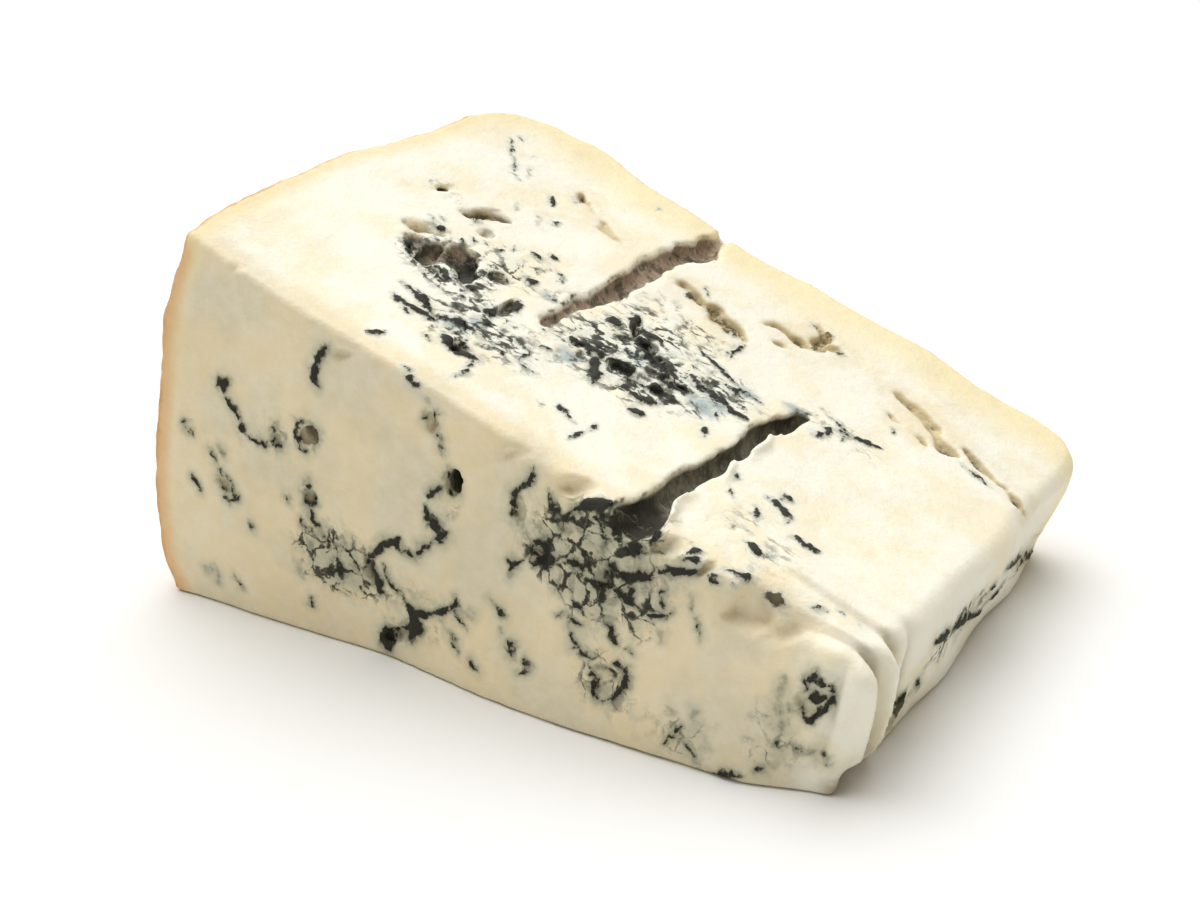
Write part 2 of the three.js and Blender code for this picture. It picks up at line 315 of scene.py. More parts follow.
def carveHollow(hollow):
    centre = (hollow["x"], hollow["y"], float(topPlace(hollow["x"], hollow["y"])) - 0.1)
    halfLong, halfWide, halfDeep = hollow["half"]

    def cutter(x, y, z, rough):
        u, v, w = turned(x, y, z, centre, hollow["turn"], topTilt)
        scaled = np.sqrt((u / halfLong) ** 2 + (v / halfWide) ** 2 + (w / halfDeep) ** 2)
        return (scaled - 1) * min(hollow["half"]) + 0.3 * rough

    reach = halfLong + 2.5
    carve([c - reach for c in centre], [c + reach for c in centre], cutter, 0.35)


for chip in edgeChips:
    carveHollow(chip)
skinBefore = body.copy()

for channel in topChannels:
    carveChannel(channel)

dishDepth = 2.0   # mm, a mouth shallower than this is a round dish

# mouths of channels met end-on: x, z, half width, half height, depth, tilt in degrees
frontMouths = [
    {"x": 48.1, "z": 26.3, "half": (1.3, 1.9), "depth": 12.0, "tilt": 10},
    {"x": 26.4, "z": 28.2, "half": (1.4, 1.8), "depth": 0.55, "tilt": 15},
    {"x": 21.5, "z": 26.6, "half": (0.8, 1.5), "depth": 0.5, "tilt": 0},
    {"x": 12.3, "z": 18.2, "half": (0.8, 1.9), "depth": 0.6, "tilt": 38},
    {"x": 71.6, "z": 7.6, "half": (2.2, 2.0), "depth": 0.75, "tilt": 0},
    {"x": 96.8, "z": 12.2, "half": (1.3, 2.3), "depth": 0.7, "tilt": -6},
    {"x": 73.4, "z": 27.2, "half": (3.0, 1.7), "depth": 6.0, "tilt": -12},
    {"x": 35.8, "z": 11.3, "half": (0.9, 2.1), "depth": 1.4, "tilt": 14},
    {"x": 39.6, "z": 3.9, "half": (2.6, 1.0), "depth": 1.4, "tilt": 28},
    {"x": 60.8, "z": 20.5, "half": (2.0, 1.1), "depth": 1.3, "tilt": 30},
    {"x": 57.4, "z": 25.0, "half": (0.6, 2.6), "depth": 0.7, "tilt": -8},
    {"x": 25.9, "z": 19.4, "half": (1.3, 1.4), "depth": 0.8, "tilt": 0},
    {"x": 45.6, "z": 33.8, "half": (0.7, 1.2), "depth": 0.7, "tilt": -10},
    {"x": 57.8, "z": 7.8, "half": (0.7, 0.9), "depth": 0.7, "tilt": 0},
    {"x": 60.2, "z": 6.2, "half": (0.9, 0.6), "depth": 0.7, "tilt": 0},
    {"x": 69.8, "z": 19.6, "half": (1.6, 1.2), "depth": 1.0, "tilt": -20},
    {"x": 64.6, "z": 24.6, "half": (1.1, 0.8), "depth": 0.8, "tilt": 30},
]


def carveMouth(mouth):
    halfX, halfZ = mouth["half"]
    cosTilt, sinTilt = math.cos(math.radians(mouth["tilt"])), math.sin(math.radians(mouth["tilt"]))
    surface = float(frontPlace(mouth["x"], mouth["z"]))

    def cutter(x, y, z, rough):
        dx, dz = x - mouth["x"], z - mouth["z"]
        across, up = dx * cosTilt + dz * sinTilt, -dx * sinTilt + dz * cosTilt
        if mouth["depth"] < dishDepth:
            bowl = np.sqrt((across / halfX) ** 2 + (up / halfZ) ** 2 + ((y - surface) / mouth["depth"]) ** 2)
            return (bowl - 1) * mouth["depth"] + 0.3 * rough
        narrow = 1 - 0.45 * smoothStep((y - surface) / mouth["depth"])
        ring = (np.hypot(across / halfX, up / halfZ) - narrow) * min(halfX, halfZ)
        end = y - surface - mouth["depth"]
        return roundedMax(ring, end, 0.4) + (0.1 + 0.17 * halfX) * rough

    reach = max(halfX, halfZ) + 2
    carve(
        (mouth["x"] - reach, surface - 4, mouth["z"] - reach),
        (mouth["x"] + reach, surface + mouth["depth"] + 2, mouth["z"] + reach),
        cutter, 0.3,
    )


for mouth in frontMouths:
    carveMouth(mouth)

# hollows and crevices where the knife crossed pockets of mould on the top
topHollows = [
    {"x": 30.6, "y": 27.8, "half": (3.4, 1.8, 2.9), "turn": -55},
    {"x": 28.6, "y": 25.0, "half": (3.6, 2.2, 1.2), "turn": -30},
    {"x": 34.0, "y": 25.2, "half": (3.2, 1.3, 1.2), "turn": -30},
    {"x": 25.6, "y": 25.6, "half": (1.6, 1.2, 1.1), "turn": 0},
    {"x": 36.6, "y": 28.3, "half": (2.0, 1.0, 1.0), "turn": 10},
    {"x": 29.0, "y": 35.4, "half": (1.1, 1.0, 0.9), "turn": 0},
    {"x": 20.6, "y": 38.6, "half": (3.6, 1.2, 0.6), "turn": 0},
    {"x": 40.9, "y": 22.6, "half": (0.9, 2.9, 0.8), "turn": 0},
    {"x": 43.0, "y": 10.2, "half": (2.8, 0.8, 0.6), "turn": 8},
]

# torn cracks in the top: half width, depth, then the places (x, y) it runs through
topCracks = [
    (0.9, 1.3, [(29.4, 59), (31.4, 56.8), (33.6, 55.6)]),
    (0.8, 0.9, [(33.2, 55.8), (36, 54), (38.6, 53.2), (41, 52)]),
    (1.2, 1.7, [(49.6, 51.6), (52.2, 50.4), (54.4, 49.6)]),
    (1.3, 1.9, [(55, 50.4), (58, 49.4), (61.6, 48.2)]),
    (1.0, 1.2, [(66, 62), (67.6, 60.4), (68.2, 58.2)]),
    (0.8, 1.1, [(61.6, 55), (65, 56.6), (68.4, 58), (71.6, 58.2)]),
    (1.1, 1.2, [(69.6, 59.6), (71.6, 58.6)]),
    (0.6, 0.8, [(64.6, 53), (67, 53.4), (69, 54.6)]),
    (1.1, 1.5, [(77.6, 58.8), (80.6, 58.4), (84, 57.6), (87.4, 56.4)]),
    (0.9, 1.2, [(84, 57.4), (87.4, 55.6), (90, 54.2)]),
    (0.7, 0.9, [(80.6, 53.2), (84, 52.4), (87, 53)]),
    (1.2, 1.7, [(90.4, 56.8), (94, 55.6), (97.6, 54.6)]),
    (1.2, 1.6, [(96.4, 55), (99.4, 53.8), (103.6, 52.2)]),
    (1.0, 1.1, [(50.8, 38.6), (53, 35), (56, 33), (59.6, 31)]),
    (0.9, 1.0, [(50, 25.6), (54, 25.8), (58, 25.6), (62.6, 26.4)]),
    (0.8, 0.9, [(59.6, 28.8), (62, 29.2), (64.6, 29.4)]),
    (0.7, 0.9, [(24.6, 24), (27.6, 22.4), (31, 21.8)]),
    (0.7, 0.9, [(33.6, 24.6), (36.6, 21.4), (38.6, 19.8)]),
    (0.6, 0.8, [(30.4, 15.4), (34, 14.4), (38, 13.8), (42.6, 14.2)]),
    (1.1, 1.3, [(21.2, 27.2), (24, 29), (26.6, 30.4)]),
    (1.3, 1.8, [(24.6, 37), (26.8, 38.8), (29, 40.6)]),
    (0.9, 1.0, [(27, 31.6), (29.6, 30.4), (31.4, 29.4)]),
]


for hollow in topHollows:
    carveHollow(hollow)


def pathDistance(x, y, path, halfWidth):
    # distance in mm to a crack that narrows towards both ends
    spans = [math.hypot(b[0] - a[0], b[1] - a[1]) for a, b in zip(path[:-1], path[1:])]
    total, done, best = sum(spans), 0.0, np.full(x.shape, 99.0)
    for (ax, ay), (bx, by), spanLength in zip(path[:-1], path[1:], spans):
        t = ((x - ax) * (bx - ax) + (y - ay) * (by - ay)) / spanLength ** 2
        t = np.clip(t, 0, 1)
        away = np.hypot(x - ax - t * (bx - ax), y - ay - t * (by - ay))
        share = (done + t * spanLength) / total
        taper = 0.35 + 0.75 * np.clip(np.sin(np.pi * share), 0, 1) ** 0.7
        best = np.minimum(best, away / (halfWidth * taper))
        done += spanLength
    return best


def carveCrack(halfWidth, depth, path):
    def cutter(x, y, z, rough):
        across = pathDistance(x, y, path, halfWidth)
        down = (topPlace(x, y) - z) / depth
        # one side of a crack hangs over the other
        return (across + np.maximum(down, -0.6) - 1) * halfWidth * 0.7 + 0.35 * rough

    xs, ys = zip(*path)
    zs = [float(topPlace(px, py)) for px, py in path]
    carve(
        (min(xs) - 3, min(ys) - 3, min(zs) - depth - 2),
        (max(xs) + 3, max(ys) + 3, max(zs) + 3),
        cutter, 0.2, 1.3,
    )


for halfWidth, depth, path in topCracks:
    carveCrack(halfWidth, depth, path)

# where the piercing needles went in, on the flat rind: (x, z)
needleHoles = {
    "radius": 1.3,   # mm
    "depth": 7.0,    # mm
    "at": [(26.5, 28.1), (48.1, 26.0), (69.7, 9.5), (90.5, 9.0), (36.0, 10.0)],
}


def carveNeedleHole(x0, z0):
    surface = float(backPlace(x0, z0))

    def cutter(x, y, z, rough):
        ring = np.hypot(x - x0, z - z0) - needleHoles["radius"]
        return roundedMax(ring, surface - needleHoles["depth"] - y, 0.8) + 0.15 * rough

    carve((x0 - 4, surface - 9, z0 - 4), (x0 + 4, surface + 4, z0 + 4), cutter, 0.6)


for x0, z0 in needleHoles["at"]:
    carveNeedleHole(x0, z0)

# light flakes of paste left standing along the lip of the second channel: x, y, half length, mm
flakes = {
    "halfThick": 0.45,   # mm
    "halfHigh": 0.9,     # mm
    "at": [(75.2, 7.4, 4.0), (75.2, 20.0, 3.0), (75.0, 28.6, 4.4)],
}


def standFlake(x0, y0, halfLong):
    z0 = float(topPlace(x0, y0)) - 0.1
    thick, high = flakes["halfThick"], flakes["halfHigh"]

    def shape(x, y, z):
        slant = x - x0 + 0.14 * (y - y0) + 0.3 * np.sin(y * 0.9 + y0)
        scaled = np.sqrt((slant / thick) ** 2 + ((y - y0) / halfLong) ** 2 + ((z - z0) / high) ** 2)
        return (scaled - 1) * thick

    fill((x0 - 2, y0 - 5, z0 - 3), (x0 + 2, y0 + 5, z0 + 3), shape)


for x0, y0, halfLong in flakes["at"]:
    standFlake(x0, y0, halfLong)

print("cut the channels, hollows and crevices")


# Where the mould grows

# soft pockets of mould: middle and half sizes in mm, and strength
# on the halving cut: (x, z)
frontPockets = [
    {"at": (30.0, 11.8), "half": (7.5, 5.6), "strength": 1.0},
    {"at": (68.0, 22.0), "half": (12.0, 7.5), "strength": 0.95},
    {"at": (72.0, 16.0), "half": (8.0, 5.0), "strength": 0.5},
    {"at": (42.0, 8.0), "half": (9.0, 6.0), "strength": 0.4},
    {"at": (71.0, 7.5), "half": (5.0, 4.5), "strength": 0.6},
    {"at": (93.0, 7.0), "half": (5.0, 7.0), "strength": 0.42},
    {"at": (81.0, 4.0), "half": (9.0, 4.5), "strength": 0.42},
    {"at": (20.0, 27.0), "half": (8.0, 5.0), "strength": 0.25},
    {"at": (46.5, 24.0), "half": (4.0, 7.0), "strength": 0.3},
]
# on the top: (x, y)
topPockets = [
    {"at": (31.0, 24.5), "half": (7.5, 6.0), "strength": 1.0},
    {"at": (40.0, 16.0), "half": (7.0, 8.0), "strength": 0.7},
    {"at": (57.0, 29.0), "half": (12.0, 9.5), "strength": 0.95},
    {"at": (54.0, 42.0), "half": (11.0, 7.0), "strength": 0.45},
    {"at": (37.0, 33.0), "half": (8.0, 6.0), "strength": 0.5},
    {"at": (67.0, 34.0), "half": (6.0, 6.0), "strength": 0.6},
    {"at": (84.0, 10.0), "half": (8.0, 9.0), "strength": 0.35},
    {"at": (79.0, 42.0), "half": (8.0, 5.0), "strength": 0.35},
    {"at": (21.0, 38.6), "half": (5.0, 2.5), "strength": 0.35},
    {"at": (48.0, 17.0), "half": (6.0, 6.0), "strength": 0.35},
    {"at": (31.0, 47.0), "half": (6.0, 6.0), "strength": 0.2},
]
# on the nose: (y, z)
nosePockets = [
    {"at": (33.0, 7.6), "half": (17.0, 3.2), "strength": 0.55},
    {"at": (60.0, 5.0), "half": (16.0, 3.0), "strength": 0.42},
    {"at": (17.0, 3.5), "half": (5.0, 3.5), "strength": 0.5},
]
# on the cut face that the wedge lies on: (x, y)
basePockets = [
    {"at": (34.0, 31.0), "half": (11.0, 8.0), "strength": 0.95},
    {"at": (58.0, 40.0), "half": (10.0, 7.0), "strength": 0.75},
    {"at": (73.0, 20.0), "half": (9.0, 6.0), "strength": 0.7},
    {"at": (46.0, 54.0), "half": (7.0, 4.0), "strength": 0.5},
]


def onTop(x, y):
    return np.stack([x, y, topPlace(x, y)], -1)


def onFront(x, z):
    return np.stack([x, frontPlace(x, z), z], -1)


def onNose(y, z):
    return np.stack([nosePlace(y, z), y, z], -1)


pocketDepth = 6.0   # mm, how far under a cut face a pocket is followed


def pocketStrength(points):
    # 0 in clean paste to 1 in the thick of a pocket, at points in mm
    total = np.zeros(len(points))
    x, y, z = points.T
    depthFront = np.abs(y - frontPlace(x, z))
    depthTop = np.abs(z - topPlace(x, y))
    depthNose = np.abs(x - nosePlace(y, z))
    for pockets, along, across, depth in (
        (frontPockets, x, z, depthFront),
        (topPockets, x, y, depthTop),
        (nosePockets, y, z, depthNose),
        (basePockets, x, y, np.abs(z)),
    ):
        for pocket in pockets:
            far = np.hypot(
                (along - pocket["at"][0]) / pocket["half"][0],
                (across - pocket["at"][1]) / pocket["half"][1],
            )
            part = pocket["strength"] * smoothStep(1.35 - far) * smoothStep(1.4 - depth / pocketDepth)
            total = 1 - (1 - total) * (1 - part)
    return total


blockPoints = np.stack(np.broadcast_arrays(gridX, gridY, gridZ), -1)
nearSkin = np.abs(body) < 2.0
pocketField = np.zeros_like(body)
pocketField[nearSkin] = pocketStrength(blockPoints[nearSkin].astype(np.float64))
# crumbly openings between the curds: thin seams, and pits where crumbs have come out
crumbs = 0.75 * noiseSmall + 0.45 * noiseFine
seamDepth = 0.8 * smoothStep(0.55 - 2.4 * np.abs(crumbs))
pitDepth = 0.6 * smoothStep(crumbs * 1.8 - 0.6)
body += pocketField * (seamDepth + pitDepth) * smoothStep((gridZ - 0.8) / 1.2)
print("opened the crumbly pockets")


# Mesh

def sampleField(field, points):
    # reads the field between its grid places, at points in mm
    place = (points - np.array(fieldLow)) / voxel
    cell = np.clip(np.floor(place).astype(int), 0, np.array(field.shape) - 2)
    part = place - cell
    total = np.zeros(len(points))
    for ix in (0, 1):
        for iy in (0, 1):
            for iz in (0, 1):
                weight = (
                    (part[:, 0] if ix else 1 - part[:, 0])
                    * (part[:, 1] if iy else 1 - part[:, 1])
                    * (part[:, 2] if iz else 1 - part[:, 2])
                )
                total += weight * field[cell[:, 0] + ix, cell[:, 1] + iy, cell[:, 2] + iz]
    return total


def meshFromField():
    band = 3 * voxel
    grid = openvdb.FloatGrid(band)
    grid.copyFromArray(np.clip(body, -band, band).astype(np.float32))
    points, quads = grid.convertToQuads(0.0)
    points = points.astype(np.float64) * voxel + np.array(fieldLow)
    return points, quads


points, quads = meshFromField()
points[:, 2] = np.maximum(points[:, 2], 0.0)
origin = np.array([
    -cadLow[0] / mm - wedge["rindBelly"],
    -cadLow[1] / mm - wedge["footSag"],
    0.0,
])
places = (points - origin) * mm
mesh = bpy.data.meshes.new("blueCheeseWedge")
mesh.from_pydata(places.tolist(), [], quads[:, ::-1].tolist())
mesh.update()
mesh.shade_smooth()
cheese = bpy.data.objects.new("blueCheeseWedge", mesh)
bpy.context.scene.collection.objects.link(cheese)
print("made the mesh:", len(points), "points,", len(quads), "faces")


# Veins drawn one by one

# Each stroke: width in mm, then the places it runs through.
# On the halving cut the places are (x, z).
frontVeins = [
    (3.6, [(70.4, 26.6), (72.6, 27.2), (75, 27.8), (76.2, 28.2)]),
    (1.8, [(72.2, 27), (73.2, 25.2), (74.2, 23.8)]),
    (1.2, [(68.4, 27.6), (70, 26.8)]),
    (2.0, [(47.6, 27.4), (48.6, 25.2)]),
    (1.0, [(28.6, 35), (28.2, 36.6), (29, 38.4), (30.2, 40.2), (31, 40.6)]),
    (1.3, [(12.6, 31.6), (13.8, 32.6)]),
    (0.8, [(13.4, 30.6), (15, 29.2), (15.6, 27.6)]),
    (1.5, [(15.6, 27.4), (16.2, 26.2)]),
    (0.6, [(16.4, 26.2), (18, 25.6), (20.4, 25.2)]),
    (0.6, [(22, 28.6), (20.9, 28), (20.8, 26), (21.6, 24.8), (22.4, 25.8), (22.7, 27.2)]),
    (0.7, [(26.6, 30.2), (25.2, 29.6), (24.9, 28), (25.2, 26.4), (26.2, 25.9)]),
    (0.5, [(26.8, 30.3), (27.9, 29.6), (28.3, 28.2), (27.4, 26.4)]),
    (0.9, [(26.3, 28.7), (26.1, 27.7)]),
    (0.4, [(6.7, 26.2), (6.4, 25.4), (7.3, 24.2)]),
    (0.5, [(10.3, 22.6), (10.8, 21.2)]),
    (0.8, [(11.8, 23.2), (12.8, 22.8)]),
    (1.3, [(11.4, 20.2), (11.8, 19.2)]),
    (0.5, [(11.2, 18.4), (12.2, 16.6), (13.4, 16.2), (14.2, 16.4), (13.4, 18), (12.4, 19.4)]),
    (0.8, [(6.6, 18.1), (7.5, 17.1), (7.4, 16.4)]),
    (0.8, [(16.3, 13.6), (16.5, 13.3)]),
    (0.9, [(22.5, 18.9), (22.6, 18.3)]),
    (2.2, [(25.5, 19.6), (26.6, 18.8)]),
    (0.9, [(25.9, 21.8), (25.8, 20.4)]),
    (0.7, [(25.6, 17.6), (26.6, 16.2), (27.6, 15.4)]),
    (0.6, [(24.6, 16), (25.4, 15), (26.8, 14.8)]),
    (1.6, [(35, 13.2), (36.1, 11.9), (36.6, 9.6), (36.4, 8.8)]),
    (1.2, [(35.1, 13.8), (36.8, 14.8), (38.4, 16.6), (39.8, 16.9), (41.2, 16)]),
    (0.8, [(41.2, 16), (42.6, 15.8), (43.8, 17.2), (45.6, 18.4)]),
    (1.1, [(45.8, 18.4), (47.2, 19.6), (46, 20.6), (44.6, 21.4), (44.2, 22.6)]),
    (0.8, [(44.8, 23.6), (45.4, 24.8), (46.8, 25.4)]),
    (0.6, [(46.8, 30), (46.4, 32), (45.8, 33.2), (46.4, 35.6)]),
    (1.5, [(45.3, 33), (45.8, 34.2)]),
    (0.8, [(42.2, 38.9), (43.4, 38.2), (44, 37.9)]),
    (0.6, [(41.6, 40.2), (43.4, 39.8)]),
    (0.5, [(45.4, 36.9), (45.6, 36.6)]),
    (0.7, [(38, 13.2), (38.4, 11.2), (39.4, 10), (40.6, 8.8)]),
    (1.4, [(40.6, 8.4), (42.2, 7.8), (44.6, 8.2)]),
    (0.9, [(44.6, 8.2), (46.8, 9.4), (48.4, 10.4), (51.6, 10.1)]),
    (0.9, [(48.6, 11.6), (48.8, 10), (50, 8.8)]),
    (2.0, [(42.4, 7.2), (42.6, 5.8), (41, 4.6), (39.4, 4)]),
    (2.2, [(39.6, 4), (37.6, 3), (36.8, 1.8)]),
    (0.5, [(46.6, 8), (48.4, 6.4), (49.4, 5)]),
    (0.9, [(51.4, 4.6), (52.6, 3.5)]),
    (0.6, [(24.2, 9.1), (24.3, 7.8)]),
    (1.1, [(25.6, 5.2), (25.5, 4.3)]),
    (0.5, [(7.6, 4.8), (8.6, 5.1)]),
    (0.3, [(9.4, 5), (9.5, 3.4)]),
    (0.4, [(12.8, 5.2), (14, 3.7)]),
    (1.0, [(59.9, 31.4), (59.6, 30.2), (58.2, 28.2), (57, 26.8), (57.1, 25), (58.2, 22.8), (59.2, 21.8)]),
    (2.6, [(59.6, 19.8), (61.2, 20.4), (62.4, 21.4)]),
    (0.9, [(61.6, 22.6), (63.4, 23.9), (64.2, 25.6), (65.4, 27.2)]),
    (1.2, [(62.6, 28.4), (62.8, 27.4), (63, 26)]),
    (0.9, [(62.6, 21.6), (64.2, 20.4), (66.6, 20.1), (69, 22.4)]),
    (0.8, [(56.5, 16.4), (56.7, 18), (58, 19.2)]),
    (1.5, [(65.4, 27.4), (67.2, 28.4), (69, 28.6), (71.4, 29.2)]),
    (0.6, [(66, 27), (68.2, 27), (69.6, 25.8), (69.8, 24.2), (69, 22.6)]),
    (0.9, [(72.6, 26.8), (74, 25.6), (76.4, 25.4)]),
    (1.1, [(70, 22), (71.2, 21.2), (73.2, 20.4), (75.2, 21), (76.6, 22.2)]),
    (1.2, [(76.8, 22.2), (79, 22.8), (81.8, 23.6)]),
    (1.0, [(76.6, 25.2), (79.4, 25), (81.8, 25), (83.6, 24.2), (85.4, 24.4), (88.2, 24)]),
    (0.7, [(82.4, 23.4), (84.4, 23)]),
    (0.6, [(86, 22.9), (86.8, 22.8)]),
    (1.6, [(70, 20.6), (69.6, 18.8)]),
    (1.0, [(67.6, 19.2), (69.6, 18.8), (69.8, 16.4)]),
    (1.1, [(70.8, 18.8), (72.6, 18), (74.2, 17.6)]),
    (1.3, [(73, 19.3), (74, 18.4)]),
    (0.6, [(74.2, 17.6), (75.8, 17), (77.8, 17.6), (78.8, 17.8)]),
    (0.5, [(77.5, 21.4), (77.3, 19.2), (77.8, 17.6)]),
    (0.9, [(81.4, 19.9), (81.1, 18.8)]),
    (0.6, [(81.8, 17.6), (82.6, 15.8)]),
    (0.5, [(65.8, 16.1), (67.2, 15.1)]),
    (0.9, [(70.4, 14.9), (71.4, 13.4), (72.1, 12.4)]),
    (0.4, [(77.4, 15), (77.7, 14.4)]),
    (0.4, [(73.5, 12.2), (74.2, 12.1)]),
    (0.5, [(63.4, 13.6), (65.6, 13.8), (67.2, 13.4)]),
    (0.8, [(65.4, 12.9), (66.4, 11.6), (67.6, 10)]),
    (0.8, [(66.2, 10.4), (69.2, 10.4)]),
    (1.2, [(68.6, 9.4), (69.6, 7.6), (69.4, 6.4), (70.4, 5.2)]),
    (0.9, [(72, 10.2), (73.8, 10.2), (74, 8.4), (72.8, 6.6), (71, 5.4)]),
    (1.7, [(71, 8.9), (71.8, 8.6)]),
    (0.8, [(54, 12.7), (55, 12.2), (56, 11.4)]),
    (0.6, [(56.1, 11.6), (56.3, 11.3)]),
    (0.5, [(55.6, 9.4), (55.8, 9.2)]),
    (1.1, [(57.9, 8.7), (57.6, 7.4), (58.4, 7)]),
    (1.2, [(59.8, 6.8), (60.4, 6.2)]),
    (0.6, [(60.4, 6), (59, 5.2)]),
    (0.8, [(81.5, 5), (80.4, 3.8), (79.4, 2.4)]),
    (0.4, [(81.6, 3.4), (83.2, 2.4), (84, 1)]),
    (0.7, [(83, 7.6), (82.9, 7)]),
    (1.0, [(85.8, 0.5), (87.4, 0.7), (89, 1.1)]),
    (0.8, [
        (95.4, 13), (95.6, 14.2), (97, 14.8), (98.2, 13.6), (98.4, 12.2),
        (97.6, 10.4), (96.6, 9.6), (95.6, 10.8), (95.3, 12.4),
    ]),
    (1.6, [(96.8, 13), (96.9, 11.4)]),
    (0.4, [(93, 13.4), (93.2, 11)]),
    (0.8, [(92.8, 10.4), (93.4, 9.6)]),
    (0.5, [(94.2, 11), (94.6, 10.2)]),
    (0.5, [(93.6, 8.6), (93.4, 7)]),
    (0.8, [(93, 5.9), (93.2, 5.3)]),
    (0.7, [(95, 5.4), (96.6, 5.1)]),
    (1.0, [(97.6, 4.9), (98.6, 4.3)]),
    (0.5, [(91, 1.9), (92.2, 2.8)]),
]
